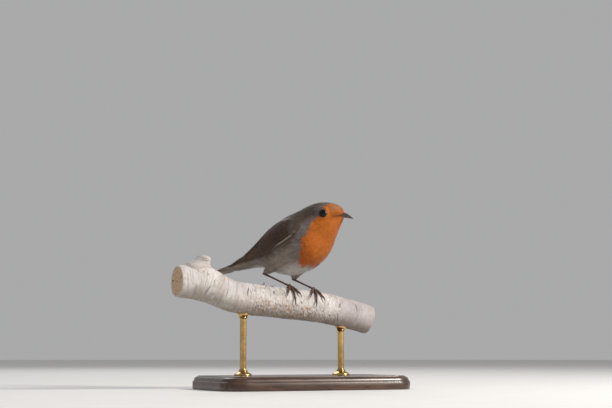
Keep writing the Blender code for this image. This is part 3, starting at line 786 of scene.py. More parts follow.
def plumageTree():
    tree = bpy.data.node_groups.new("plumage", "GeometryNodeTree")
    tree.is_modifier = True
    shares = ("Spacing", "Stretch", "Width", "Splay", "Base", "Ruffle", "Cling")
    inputs = {"Guide": "Geometry", "Vanes": "Collection", "Vane Count": "Int", "Region": "String",
              **dict.fromkeys(shares, "Float"), "Seed": "Int", "Material": "Material"}
    for name, kind in inputs.items():
        tree.interface.new_socket(name, in_out="INPUT", socket_type="NodeSocket" + kind)
    tree.interface.new_socket("Plumage", in_out="OUTPUT", socket_type="NodeSocketGeometry")
    n = Nodes(tree)
    given = n.add("NodeGroupInput").outputs

    def inUse(sockets, *names):
        return [x for x in sockets if x.enabled and (not names or x.name in names)]

    def kept(name, kind="FLOAT"):
        return n.add("GeometryNodeInputNamedAttribute", {"Name": name}, data_type=kind).outputs["Attribute"]

    def keep(geometry, name, value, kind="FLOAT", domain="POINT"):
        given = {"Geometry": geometry, "Name": name}
        node = n.add("GeometryNodeStoreNamedAttribute", given, data_type=kind, domain=domain)
        n.feed(inUse(node.inputs, "Value")[0], value)
        return node.outputs[0]

    def onGuide(name, kind="FLOAT"):  # what the nearest place of the guide says
        node = n.add("GeometryNodeSampleNearestSurface", {"Mesh": given["Guide"]}, data_type=kind)
        n.feed(inUse(node.inputs, "Value")[0], kept(name, kind))
        return inUse(node.outputs)[0]

    def chance(low, high, offset, kind="FLOAT"):
        node = n.add("FunctionNodeRandomValue", data_type=kind)
        for socket, value in zip(inUse(node.inputs, "Min", "Max"), (low, high)):
            n.feed(socket, value)
        n.feed(node.inputs["Seed"], n.plus(given["Seed"], float(offset)))
        return inUse(node.outputs)[0]

    roots = {
        "Mesh": given["Guide"], "Distance Min": given["Spacing"], "Density Factor": kept(given["Region"]),
        "Density Max": n.math("DIVIDE", 1.6, n.times(given["Spacing"], given["Spacing"])),
        "Seed": given["Seed"],
    }
    spots = n.add("GeometryNodeDistributePointsOnFaces", roots, distribute_method="POISSON").outputs["Points"]
    rooted = keep(keep(spots, "shade", chance(0.0, 1.0, 1)), "ruffle", chance(0.0, 1.0, 2))
    axes = {"Primary Axis": kept("skinNormal", "FLOAT_VECTOR"), "Secondary Axis": kept("lie", "FLOAT_VECTOR")}
    turn = n.add("FunctionNodeAxesToRotation", axes, primary_axis="Z", secondary_axis="X").outputs[0]
    splay = n.join(z=n.times(chance(-1.0, 1.0, 3), given["Splay"]))
    both = {"Rotation": turn, "Rotate By": n.add("FunctionNodeEulerToRotation", {"Euler": splay}).outputs[0]}
    spun = n.add("FunctionNodeRotateRotation", both, rotation_space="LOCAL").outputs[0]
    longness = n.times(kept("length"), given["Stretch"], chance(0.82, 1.15, 4))
    size = n.join(longness, n.times(longness, given["Width"]), longness)
    choice = {"Collection": given["Vanes"], "Separate Children": True, "Reset Children": True}
    placing = {
        "Points": rooted, "Instance": n.add("GeometryNodeCollectionInfo", choice).outputs[0],
        "Instance Index": chance(0, n.minus(given["Vane Count"], 1.0), 5, "INT"), "Pick Instance": True,
        "Rotation": spun, "Scale": size,
    }
    placed = n.add("GeometryNodeInstanceOnPoints", placing).outputs["Instances"]
    real = n.add("GeometryNodeRealizeInstances", {"Geometry": placed}).outputs[0]
    near = n.add("GeometryNodeProximity", {0: given["Guide"]}, target_element="FACES").outputs["Position"]
    normal = n.vector("NORMALIZE", onGuide("skinNormal", "FLOAT_VECTOR"))
    ruffle = n.plus(n.times(n.minus(kept("ruffle"), 0.6), given["Ruffle"]), 1.0)
    rise = n.plus(given["Base"], n.times(kept("lift"), n.minus(1.0, given["Base"])))
    height = n.plus(n.times(rise, onGuide("depth"), ruffle), 0.00004)
    free = n.scaled(n.add("GeometryNodeInputPosition").outputs[0], n.minus(1.0, given["Cling"]))
    held = n.vector("ADD", n.scaled(near, given["Cling"]), free)
    lifted = n.vector("ADD", held, n.scaled(normal, height))
    ends = n.add("GeometryNodeInputMeshEdgeVertices").outputs
    edgeLong = n.vector("DISTANCE", ends["Position 1"], ends["Position 2"])
    before = keep(real, "span", edgeLong, domain="EDGE")
    laid = n.add("GeometryNodeSetPosition", {"Geometry": before, "Position": lifted}).outputs[0]
    # barbs that a fold of the skin has pulled apart are dropped
    pulled = n.math("GREATER_THAN", edgeLong, n.plus(n.times(kept("span"), 1.35), 0.00018))
    marked = keep(laid, "torn", pulled, domain="EDGE")
    torn = {"Geometry": marked, "Selection": n.math("GREATER_THAN", kept("torn"), 0.1)}
    whole = n.add("GeometryNodeDeleteGeometry", torn, domain="FACE", mode="ALL").outputs[0]
    soft = keep(whole, "softNormal", normal, "FLOAT_VECTOR")
    root = n.split(kept("skinMap", "FLOAT_VECTOR"))
    patchU = n.plus(root[0], n.times(n.minus(kept("vaneAlong"), 0.5), bakePatch))
    patch = n.join(patchU, n.plus(root[1], n.times(kept("vaneAcross"), bakePatch / 2.0)))
    mapped = keep(soft, "OFBake", patch, "FLOAT2", "CORNER")
    painted = n.add("GeometryNodeSetMaterial", {"Geometry": mapped, "Material": given["Material"]})
    n.feed(n.add("NodeGroupOutput").inputs[0], painted.outputs[0])
    return tree


bakePatch = 0.003  # each tuft's own place on the map
plumage = plumageTree()


def growCoat(name, sizes, material):
    obj = newPiece(name, guide.data)
    change = obj.modifiers.new("plumage", "NODES")
    change.node_group = plumage
    sizes = dict(zip(coatSizes, sizes))
    values = sizes | {"Vanes": vaneSets[sizes["Vanes"]], "Vane Count": vaneKinds, "Material": material,
                      "Spacing": sizes["Spacing"] * mm * 1.0}
    for item in plumage.interface.items_tree:
        if item.in_out == "INPUT" and item.name in values:
            change[item.identifier] = values[item.name]
    mesh = evaluated(obj, name)
    spare = ("skinMap", "lie", "skinNormal", "depth", "length", "lift", "ruffle", "id", "span", "torn")
    for extra in [a.name for a in mesh.attributes if a.name in (*spare, *regionNames)]:
        mesh.attributes.remove(mesh.attributes[extra])
    mesh.shade_smooth()
    own, soft = np.empty((2, len(mesh.vertices) * 3), np.float32)
    mesh.vertices.foreach_get("normal", own)
    mesh.attributes["softNormal"].data.foreach_get("vector", soft)
    normals = soft.reshape(-1, 3) * sizes["softness"] + own.reshape(-1, 3) * (1.0 - sizes["softness"])
    normals /= lengthOf(normals)[:, None] + 1e-9
    mesh.normals_split_custom_set_from_vertices(normals.tolist())
    mesh.attributes.remove(mesh.attributes["softNormal"])
    settle(obj, coatSlots.get(sizes["Region"], "grey_plumage"))
    print(name, len(mesh.polygons), "faces", sum(p.loop_total - 2 for p in mesh.polygons), "triangles")


# finishes: shared effects first


def nodeGroup(name, inputs, outputs):  # the inputs' starting values; None is for a place
    tree = bpy.data.node_groups.new(name, "ShaderNodeTree")
    for label, value in inputs.items():
        kind = "NodeSocketVector" if value is None else "NodeSocketFloat"
        socket = tree.interface.new_socket(label, in_out="INPUT", socket_type=kind)
        if value is not None:
            socket.default_value = value
    for label in outputs:
        tree.interface.new_socket(label, in_out="OUTPUT", socket_type="NodeSocketFloat")
    n = Nodes(tree)
    return n, n.add("NodeGroupInput").outputs, n.add("NodeGroupOutput").inputs


def makeMottle():  # soft patches of lighter and darker tone
    inputs = {"Vector": None, "Scale": 1000.0, "Low": 0.85, "High": 1.15}
    n, given, out = nodeGroup("mottle", inputs, ["Tone"])
    cloud = n.noise(given["Vector"], given["Scale"], 3.0, 0.55)
    n.feed(out["Tone"], n.span(cloud, 0.3, 0.7, given["Low"], given["High"]))
    return n.tree


def makeBarbs():  # the fine slanting lines of a feather's two webs, and its shaft
    inputs = {"Along": 0.0, "Across": 0.0, "Count": 60.0, "Slant": 0.16}
    n, given, out = nodeGroup("barbs", inputs, ["Height", "Tone", "Shaft"])
    fromShaft = n.math("ABSOLUTE", given["Across"])
    phase = n.minus(given["Along"], n.times(fromShaft, given["Slant"]))
    wave, drift = (n.math("SINE", n.times(phase, given["Count"], rate)) for rate in (6.2832, 1.73))
    n.feed(out["Height"], n.plus(n.times(wave, 0.5), n.times(drift, 0.35)))
    n.feed(out["Tone"], n.plus(1.0, n.times(n.plus(wave, drift), 0.025)))
    n.feed(out["Shaft"], n.span(fromShaft, 0.03, 0.09, 1.0, 0.0))
    return n.tree


def makePits():  # fine pores and scratches that break up a smooth gloss
    inputs = {"Vector": None, "Scale": 2500.0, "Rough": 0.4, "Spread": 0.15}
    n, given, out = nodeGroup("pits", inputs, ["Roughness", "Height"])
    fine = n.noise(given["Vector"], given["Scale"], 4.0, 0.6)
    n.feed(out["Height"], fine)
    n.feed(out["Roughness"], n.plus(given["Rough"], n.times(n.minus(fine, 0.5), given["Spread"])))
    return n.tree


mottleGroup, barbGroup, pitGroup = makeMottle(), makeBarbs(), makePits()


class Finish(Nodes):  # a material while it is built
    def __init__(self, name, **constants):
        self.material = bpy.data.materials.new(name)
        self.material.use_nodes = True
        super().__init__(self.material.node_tree)
        self.surface = self.tree.nodes["Principled BSDF"].inputs
        for label, value in constants.items():
            self.surface[socketNames.get(label, label)].default_value = value

    def paint(self, colour):
        self.feed(self.surface["Base Color"], colour)

    def gloss(self, value):
        self.feed(self.surface["Roughness"], value)

    def relief(self, height, distance, strength=1.0):
        bump = self.add("ShaderNodeBump", {"Height": height, "Distance": distance, "Strength": strength})
        self.feed(self.surface["Normal"], bump.outputs[0])

    def weather(self, colour, tone, pits=(), bump=None):  # mottled colour, broken gloss and fine relief
        place = self.place()
        mottle = self.effect(mottleGroup, Vector=place, **dict(zip(("Scale", "Low", "High"), tone)))
        self.paint(self.scaled(colour, mottle["Tone"]))
        if pits:
            pores = self.effect(pitGroup, Vector=place, **dict(zip(("Scale", "Rough", "Spread"), pits)))
            if len(pits) > 1:
                self.gloss(pores["Roughness"])
            if bump:
                self.relief(pores["Height"], bump)


socketNames = {
    "rough": "Roughness", "shine": "Specular IOR Level", "metal": "Metallic", "sheen": "Sheen Weight",
    "sheenRough": "Sheen Roughness", "coat": "Coat Weight", "coatRough": "Coat Roughness",
    "coatIndex": "Coat IOR",
}


def barbLines(n, count, slant):
    webs = {"Along": n.field("vaneAlong"), "Across": n.field("vaneAcross")}
    return n.effect(barbGroup, **webs, Count=count, Slant=slant)


def plumageFinish():
    n = Finish("robin plumage", rough=0.72, shine=0.22, sheen=0.18, sheenRough=0.45)
    tone = n.effect(mottleGroup, Vector=n.place(), Scale=420.0, Low=0.86, High=1.14)["Tone"]
    tip = n.span(n.field("vaneAlong"), 0.25, 1.0, 0.82, 1.07)
    each = n.span(n.field("shade"), 0.0, 1.0, 0.90, 1.10)
    lines = barbLines(n, 9.0, -0.5)
    share = n.times(n.times(tone, tip), n.times(each, lines["Tone"]))
    n.paint(n.scaled(n.field("coatColour", "Color"), share))
    n.relief(lines["Height"], 0.00003, 0.5)
    return n.material


def skinFinish():
    n = Finish("robin skin", rough=0.8, shine=0.2)
    # the skin takes the coat's markings, mottled and darkened to between 0.62 and 0.9 of them as painted
    # shade beneath the feathers
    n.weather(n.field("coatColour", "Color"), (900.0, 0.62, 0.9), (1800.0,), 0.0002)
    return n.material


def lidFinish():
    n = Finish("robin eyelid", shine=0.4)
    n.weather(n.field("coatColour", "Color"), (2200.0, 0.75, 1.2), (5200.0, 0.5, 0.3), 0.00008)
    return n.material


def quillFinish():
    n = Finish("robin quills", shine=0.24, sheen=0.04)
    place = n.place()
    lines = barbLines(n, 120.0, 0.10)
    tone = n.effect(mottleGroup, Vector=place, Scale=420.0, Low=0.86, High=1.14)["Tone"]
    each = n.span(n.field("shade"), 0.0, 1.0, 0.9, 1.1)
    web = n.scaled(n.field("webColour", "Color"), n.times(n.times(tone, each), lines["Tone"]))
    n.paint(n.mix(n.times(lines["Shaft"], 0.55), web, (0.030, 0.017, 0.011)))
    n.gloss(n.effect(pitGroup, Vector=place, Scale=2600.0, Rough=0.55, Spread=0.2)["Roughness"])
    n.relief(lines["Height"], 0.00004, 0.45)
    return n.material


plumageMaterial, quillMaterial = plumageFinish(), quillFinish()
finishSkin(skinFinish(), lidFinish())

coatSizes = (
    "Region", "Vanes", "Spacing", "Stretch", "Width", "Splay", "Base", "Ruffle", "softness", "Cling", "Seed",
)
coatPieces = {
    "face": ("face", "faceVane", 0.30, 1.15, 1.0, 0.22, 0.45, 0.30, 0.75, 1.0, 3),
    "head": ("head", "headVane", 0.44, 1.05, 0.9, 0.18, 0.40, 0.35, 0.7, 1.0, 4),
    "breast": ("breast", "bodyVane", 0.72, 1.0, 0.9, 0.18, 0.35, 0.35, 0.75, 1.0, 5),
    "belly_left": ("bellyLeft", "bodyVane", 0.82, 1.0, 0.95, 0.24, 0.35, 0.40, 0.75, 1.0, 6),
    "belly_right": ("bellyRight", "bodyVane", 0.82, 1.0, 0.95, 0.24, 0.35, 0.40, 0.75, 1.0, 12),
    "back": ("back", "bodyVane", 0.80, 1.0, 0.95, 0.12, 0.35, 0.25, 0.6, 1.0, 7),
    "thighs": ("thigh", "bodyVane", 0.50, 1.0, 0.8, 0.25, 0.3, 0.40, 0.8, 0.62, 8),
    "scapulars": ("scapular", "bodyVane", 1.0, 2.0, 0.8, 0.10, 0.7, 0.20, 0.5, 1.0, 9),
    "lesser_coverts": ("wingBend", "bodyVane", 0.85, 1.7, 0.9, 0.10, 0.60, 0.20, 0.7, 1.0, 10),
    "tail_coverts": ("tailRoot", "bodyVane", 0.90, 1.1, 0.8, 0.12, 0.3, 0.30, 0.6, 0.6, 11),
}
coatSlots = {
    "face": "orange_plumage", "head": "orange_plumage", "back": "olive_plumage", "wingBend": "olive_plumage",
}
vaneKinds = 4
vaneSets = {
    "faceVane": vaneCollection("faceVane", vaneKinds, barbs=6, rows=2, wide=0.24, loose=1.2),
    "headVane": vaneCollection("headVane", vaneKinds, barbs=9, rows=2, wide=0.26, loose=1.2),
    "bodyVane": vaneCollection("bodyVane", vaneKinds, barbs=25, rows=3, wide=0.26, loose=1.6),
}
for name, sizes in coatPieces.items():
    growCoat("plumage_" + name, sizes, plumageMaterial)


# quills and large coverts of the folded wings, laid in the wing's own chart
wings = {
    "thick": 0.05, "rows": 20, "columns": 4, "stack": 0.032, "louvre": 0.075, "top": -0.05,
    # how many; root (t, c), tip (t, c) and width, first and last; how blunt the tip is; the fringe's strength
    "tracts": {
        "median": (9, (1.30, 0.10), (1.75, 0.93), (2.95, 0.12), (3.10, 0.95), 4.6, 3.2, 0.55, 0.35),
        "greater": (10, (2.40, 0.10), (2.60, 0.86), (4.55, 0.16), (4.60, 0.88), 5.0, 3.0, 0.50, 0.60),
        "alula": (3, (1.40, 0.90), (1.60, 0.97), (3.10, 0.90), (3.90, 0.97), 2.8, 2.2, 0.40, 0.50),
        "primaryCovert": (6, (2.60, 0.82), (2.60, 0.97), (4.70, 0.84), (5.00, 0.97), 2.6, 2.0, 0.35, 0.40),
        "tertial": (3, (3.40, 0.06), (3.60, 0.24), (5.70, 0.14), (7.00, 0.30), 7.0, 5.4, 0.42, 0.35),
        "secondary": (6, (3.60, 0.26), (3.90, 0.62), (6.85, 0.34), (7.25, 0.62), 5.2, 4.2, 0.34, 0.70),
        "primary": (9, (4.10, 0.50), (3.90, 0.95), (7.75, 0.26), (8.95, 0.60), 4.8, 3.0, 0.22, 0.55),
    },
    "order": ("tertial", "median", "greater", "alula", "secondary", "primaryCovert", "primary"),
    # web and inner: the quills' own dark brown, made darker still as painted shade; the tail quills take web
    # too
    "web": (0.047, 0.025, 0.016), "inner": (0.030, 0.016, 0.011), "fringe": (0.150, 0.092, 0.050),
    "paleTip": (0.34, 0.27, 0.19),
}


def toward(first, last, share):
    return [a + (b - a) * share for a, b in zip(first, last)]


def chartScale(side, t, c):  # mm on the wing for one unit of c
    near = 0.04
    span = wingPoint(side, t, min(c + near, 1.0)) - wingPoint(side, t, max(c - near, 0.0))
    return span.length / mm / (2.0 * near)


def featherShape(s, blunt):
    rise = 0.35 + 0.65 * smooth(0.0, 0.30, s)
    past = max(0.0, (s - (1.0 - blunt)) / blunt)
    return rise * math.sqrt(max(0.0, 1.0 - past**2.2))


def platedVane(place, tint, rows, columns, thick):
    # place(s, q, height) gives a point; two sheets are closed round the rim
    points, facts, faces = [], [], []
    width, sheetSize = 2 * columns + 1, (rows + 1) * (2 * columns + 1)
    for sheet, i, k in product((1, -1), range(rows + 1), range(width)):
        s, q = 0.004 + 0.996 * i / rows, k / columns - 1.0
        ridge = 0.045 * math.exp(-((q / 0.13) ** 2)) * (1.0 - 0.8 * s)
        plate = thick * (0.35 + 0.65 * (1.0 - abs(q) ** 3)) * (1.0 - 0.5 * s)
        points.append(place(s, q, sheet * (0.5 * plate + ridge)))
        facts.append((s, q, *tint(s, q, sheet)))
    for i, k in product(range(rows), range(width - 1)):
        a = i * width + k
        b = sheetSize + a
        faces += [(a, a + 1, a + width + 1, a + width), (b, b + width, b + width + 1, b + 1)]
    rim = [*range(width), *range(2 * width - 1, sheetSize, width)]
    rim += [*range(sheetSize - 2, sheetSize - width - 1, -1), *range((rows - 1) * width, 0, -width)]
    faces += [(b, a, sheetSize + a, sheetSize + b) for a, b in zip(rim, rim[1:] + rim[:1])]
    return points, facts, faces


def vanePiece(name, vanes, slotName, *nodes):
    rng = np.random.default_rng(len(vanes))
    points, facts, faces, shades = [], [], [], []
    for vanePoints, vaneFacts, vaneFaces in vanes:
        faces += moved(vaneFaces, len(points))
        points += vanePoints
        facts += vaneFacts
        shades += [rng.uniform(0, 1)] * len(vanePoints)
    facts = np.array(facts)
    layers = {"vaneAlong": facts[:, 0], "vaneAcross": facts[:, 1], "shade": shades}
    layers["webColour"] = facts[:, 2:5]
    mesh = solid(name, points, faces, quillMaterial, slotName, *nodes, **layers).data
    vertex, size, cell = loopVertices(mesh), len(vanes[0][0]), math.ceil(math.sqrt(len(vanes)))
    row, column = np.divmod(vertex // size, cell)  # each feather has a cell, and each sheet half of it
    half = (vertex % size) // (size // 2)
    u = (column + 0.04 + (0.46 * half + 0.23 + 0.22 * facts[vertex, 1])) / (cell + 0.02)
    v = (row + 0.04 + 0.92 * facts[vertex, 0]) / (cell + 0.02)
    layer = mesh.uv_layers.new(name="OFBake")
    layer.data.foreach_set("uv", np.stack([u, v], axis=1).astype(np.float32).ravel())
    print(name, sum(p.loop_total - 2 for p in mesh.polygons), "triangles")


def wingVane(side, tract, share, layer, rng):
    rootFirst, rootLast, tipFirst, tipLast, wideFirst, wideLast, blunt, fringe = wings["tracts"][tract][1:]
    root, tip = toward(rootFirst, rootLast, share), toward(tipFirst, tipLast, share)
    if tract == "primary":  # the outermost are shorter than the wing's point
        tip[0] -= 0.9 * max(0.0, share - 0.72) / 0.28
        tip[1] += 0.16 * max(0.0, share - 0.60) / 0.40
    tip[0] += rng.uniform(-0.05, 0.05)
    wide = wideFirst + (wideLast - wideFirst) * share
    lift = wings["top"] - wings["stack"] * layer
    jitter = rng.uniform(-1, 1)

    def chartAt(s, q):
        t = root[0] + (tip[0] - root[0]) * s
        c = root[1] + (tip[1] - root[1]) * s**1.25
        reach = wide * (0.40 if q > 0 else 0.60) * featherShape(s, blunt) * q
        nick = 0.05 * math.sin(31.0 * s + 5.0 * jitter) * abs(q) ** 6 * s
        c += (reach + nick) / max(chartScale(side, t, min(max(c, 0.05), 0.95)), 4.0)
        sweep = 0.16 * abs(q) ** 1.5 * smooth(0.55, 1.0, s)
        return t - sweep * (tip[0] - root[0]) * 0.25, min(max(c, -0.05), 1.04)

    def place(s, q, height):
        return wingPoint(side, *chartAt(s, q), lift + wings["louvre"] * q + height)

    def tint(s, q, sheet):
        web = np.array(wings["web"] if q > 0 else wings["inner"])
        edge = smooth(0.62, 0.98, q) * fringe * (0.45 + 0.55 * smooth(0.1, 0.6, s))
        edge = max(edge, 0.5 * fringe * smooth(0.93, 1.0, s))
        colour = web + (np.array(wings["fringe"]) - web) * edge
        if tract == "greater":
            pale = smooth(0.90, 0.99, s) * smooth(-0.1, 0.5, q)
            colour = colour + (np.array(wings["paleTip"]) - colour) * 0.8 * pale
        t, c = chartAt(s, q)
        streak = smooth(0.90, 0.965, c) * smooth(0.6, 1.2, t) * smooth(4.2, 2.6, t) * smooth(0.2, 0.7, q)
        colour = colour + (np.array(markings["streak"]) - colour) * streak
        return tuple(colour * (1.0 if sheet > 0 else 0.9))

    return platedVane(place, tint, wings["rows"], wings["columns"], wings["thick"])


def wingVanes(side):
    vanes, layer = [], 0.0
    rng = np.random.default_rng(40)
    for tract in wings["order"]:
        count = wings["tracts"][tract][0]
        for i in range(count):
            vanes.append(wingVane(side, tract, i / (count - 1), layer, rng))
            layer += 0.3 if tract == "median" else 1.0
    return vanes


for side, name in ((-1, "right"), (1, "left")):
    vanePiece("wing_feathers_" + name, wingVanes(side), "olive_plumage", "wing_" + name)


# tail quills: six a side, the middle pair on top
tailQuills = {
    "count": 6, "thick": 0.06, "rows": 22, "columns": 4, "stack": 0.11, "width": 3.5, "blunt": 0.16,
    "top": 0.90, "seed": 7, "fringe": (0.115, 0.075, 0.042),
}


def tailVane(i, side, rng):
    share = i / (tailQuills["count"] - 1)
    lengthShare = 0.965 + 0.05 * share - 0.09 * share**6 - 0.01 * rng.uniform(0, 1)
    tipA, rootA = side * (0.10 + 0.74 * share), side * (0.06 + 0.70 * share)
    lift = tailQuills["top"] - tailQuills["stack"] * i - (0.05 if side > 0 else 0.0)

    def place(s, q, height):
        half = 0.42 - 0.16 * share if q * side > 0 else 0.58 + 0.1 * share
        reach = tailQuills["width"] * half * featherShape(s, tailQuills["blunt"]) * q
        a = rootA + (tipA - rootA) * s**0.9 + reach / tailWide(s)
        pull = 0.030 * abs(q) ** 2 * smooth(0.7, 1.0, s)
        sunk = 0.2 + 0.8 * smooth(0.02, 0.24, s)  # the quills come out from under the coverts
        high = lift * (1.0 - 0.42 * s) * sunk + -0.10 * (q * side) + height
        return tailPoint((s - pull) * lengthShare, max(-1.0, min(1.0, a)), high)

    def tint(s, q, sheet):
        web = np.array(wings["web"]) * (1.05 if q * side > 0 else 0.8)
        colour = web + (np.array(tailQuills["fringe"]) - web) * (smooth(0.6, 1.0, q * side) * 0.5)
        return tuple(colour * (1.0 if sheet > 0 else 1.25))

    return platedVane(place, tint, tailQuills["rows"], tailQuills["columns"], tailQuills["thick"])


rng = np.random.default_rng(tailQuills["seed"])
tailVanes = [tailVane(i, side, rng) for i, side in product(range(tailQuills["count"]), (-1, 1))]
vanePiece("tail_feathers", tailVanes, "olive_plumage", "tail")


# eyes: a dark brown iris round a wide pupil, under a clear wet coat
eyeball = {
    "rings": 40, "around": 64, "pupil": 0.50, "bulge": 0.035, "size": 0.988,
    "iris": (0.009, 0.0042, 0.0024), "ray": (0.0045, 0.0024, 0.0016), "rim": (0.004, 0.002, 0.0015),
    "black": (0.0012, 0.0011, 0.0013),
}


def eyeFinish():
    n = Finish("robin eye", rough=0.25, coat=1.0, coatRough=0.012, coatIndex=1.34, shine=0.0)
    zone = n.field("eyeZone")
    ray = n.noise(n.scaled(n.field("eyeRay", "Vector"), 9.0), 1.0, 3.0)
    colour = n.mix(n.span(ray, 0.35, 0.65, 0.0, 1.0), eyeball["ray"], eyeball["iris"])
    colour = n.mix(n.span(zone, 0.80, 0.98, 0.0, 1.0), colour, eyeball["rim"])
    inPupil = n.span(zone, eyeball["pupil"] - 0.03, eyeball["pupil"] + 0.03, 1.0, 0.0)
    n.paint(n.mix(inPupil, colour, eyeball["black"]))
    return n.material


eyeMaterial = eyeFinish()


def makeEye(name, eye):
    sideways = eye.look.cross(Vector((0, 0, 1))).normalized()
    up = sideways.cross(eye.look)
    points, zones, rays = [], [], []
    rings, around = eyeball["rings"], eyeball["around"]
    for i, spin in product(range(1, rings), circle(around)):
        turn = math.pi * i / rings
        radius = eye.radius * (eyeball["size"] + eyeball["bulge"] * math.exp(-((turn / 0.75) ** 4)))
        ray = sideways * math.cos(spin) + up * math.sin(spin)
        points.append(eye.centre + (eye.look * math.cos(turn) + ray * math.sin(turn)) * radius)
        zones.append(min(1.0, math.sin(turn) / 0.83) if turn < math.pi / 2 else 1.0)
        rays.append((math.cos(spin), math.sin(spin), turn * 0.4))
    front, back, last = len(points), len(points) + 1, (rings - 2) * around
    for way in (eyeball["size"] + eyeball["bulge"], -eyeball["size"]):
        points.append(eye.centre + eye.look * (eye.radius * way))
    faces = loftFaces(rings - 1, around, capped=False)
    faces += [(front, k, (k + 1) % around) for k in range(around)]
    faces += [(back, last + (k + 1) % around, last + k) for k in range(around)]
    layers = {"eyeZone": zones + [0.0, 1.0], "eyeRay": rays + [(0, 0, 0), (0, 0, 1)]}
    solid("eyeball_" + name, points, faces, eyeMaterial, "eye", "eye_" + name, **layers)


for name, eye in eyes.items():
    makeEye(name, eye)
print("eyes made")


# bill: two mandibles with nostrils, a sharp cutting edge and a pale worn tip
bill = {
    "base": 41.8, "tip": (49.0, 20.3), "behind": 0.34, "seam": 23.15, "along": 54, "around": 28, "gap": 0.015,
    "upper": (0.052, 0.036, 0.028), "lower": (0.066, 0.047, 0.037), "worn": (0.17, 0.14, 0.115), "inner": 5,
}


def hornFinish(name, colour, pale, rough):
    n = Finish(name, shine=0.5)
    n.weather(n.mix(n.field("wear"), colour, pale), (1100.0, 0.72, 1.3), (3600.0, rough, 0.22), 0.00006)
    return n.material


def mandible(name, node, material):
    upper, up = (True, 1.0) if node == "bill_upper" else (False, -1.0)
    count, last, long = bill["along"], 2 * bill["around"], bill["tip"][0] - bill["base"]
    points, wear = [], []
    for i in range(count + 1):
        t = -bill["behind"] + (1.0 + bill["behind"]) * i / count
        tt = max(t, 0.0)
        x = bill["base"] + (long - (0.0 if upper else 0.35)) * t
        seam = bill["seam"] + (bill["tip"][1] - bill["seam"]) * max(0.0, (x - bill["base"]) / long) ** 1.25
        wide = 1.95 * (1.0 - tt) ** 0.8 + 0.24 - 0.25 * max(0.0, -t)
        wide *= 1.0 if t < 0.97 else math.sqrt(max(0.04, 1.0 - ((t - 0.97) / 0.03) ** 2))
        row = []
        for k in range(last + 1):
            a = math.pi * k / last  # from the right edge over the ridge to the left one
            if upper:
                reach = (1.95 * (1.0 - tt**1.7) + 0.22) * (1.0 - 0.12 * tt)
                pit = 0.34 * math.exp(-(((t - 0.16) / 0.075) ** 2) - (((math.sin(a) - 0.50) / 0.17) ** 2))
                groove = 0.10 * math.exp(-(((math.sin(a) - 0.50) / 0.2) ** 2)) * smooth(0.5, 0.1, t)
                y = -wide * math.copysign(abs(math.cos(a)) ** 1.15, math.cos(a))
                y *= 1.0 - (pit + groove) / max(wide, 0.3)
                z = seam + bill["gap"] + reach * math.sin(a) ** 1.04
                z -= 0.10 * smooth(0.86, 1.0, t) if k in (0, last) else 0.0
            else:
                reach = 1.45 * (1.0 - tt**1.5) + 0.2
                y = -wide * 0.94 * math.cos(a)
                z = seam - bill["gap"] - reach * math.sin(a)
            row.append(Vector((x, y, z)))
            edgeWear = 0.45 * math.exp(-((math.sin(a) / 0.16) ** 2)) * (1.0 if t > 0 else 0.0)
            pale = 0.35 * smooth(0.35, 0.0, t) * (0.3 if upper else 1.0)
            wear.append(min(1.0, max(smooth(0.80, 1.0, t) * 0.9, edgeWear, pale)))
        for k in reversed(range(1, bill["inner"] + 1)):  # the cutting edges are joined across the mouth
            y = row[0].y + (row[last].y - row[0].y) * k / (bill["inner"] + 1.0)
            row.append(Vector((x, y, seam + 0.03 * up)))
            wear.append(0.1)
        points += [(turned(p) + middle) * mm for p in row]
    faces = loftFaces(count + 1, last + 1 + bill["inner"])
    solid(name, points, faces, material, "horn", node, sharp=50, wear=wear)


billUpperMaterial = hornFinish("bill horn", bill["upper"], bill["worn"], 0.30)
billLowerMaterial = hornFinish("lower bill horn", bill["lower"], bill["worn"], 0.34)
mandible("beak_upper", "bill_upper", billUpperMaterial)
mandible("beak_lower", "bill_lower", billLowerMaterial)


def tubeOf(path, radii, sides, flat=1.0, ups=None):
    # rings round a path, kept level by ups
    points = []
    for i, centre in enumerate(path):
        ahead = (path[min(i + 1, len(path) - 1)] - path[max(i - 1, 0)]).normalized()
        sideways = ahead.cross(ups[i] if ups else Vector((0, 0, 1))).normalized()
        top = sideways.cross(ahead).normalized()
        for turn in circle(sides):
            radius = radii(i, turn) if callable(radii) else radii[i]
            points.append(centre + (top * math.cos(turn) * flat + sideways * math.sin(turn)) * radius)
    return points


def makeBristles():  # stiff hairs at the gape
    rng = np.random.default_rng(12)
    points, faces, sides = [], [], 5
    along, thick = (0, 0.2, 0.45, 0.7, 1.0), (0.065, 0.06, 0.048, 0.034, 0.012)
    for side, i in product((-1, 1), range(6)):
        root = Vector((40.9 - 0.42 * i + rng.uniform(-0.1, 0.1), side * (2.5 + 0.30 * i), 24.2 - 0.22 * i))
        way = Vector((0.80 - 0.05 * i, side * 0.52, -0.36 + 0.10 * rng.uniform(-1, 1))).normalized()
        long = 3.4 + 0.5 * rng.uniform(-1, 1)
        bend = Vector((0, -side * 0.5, -0.55))
        path = [(turned(root + way * (long * t) + bend * (t * t)) + middle) * mm for t in along]
        faces += loftFaces(len(path), sides, len(points))
        points += tubeOf(path, [r * mm for r in thick], sides)
    solid("gape_bristles", points, faces, billUpperMaterial, "horn", wear=0.0)


makeBristles()
print("bill made")


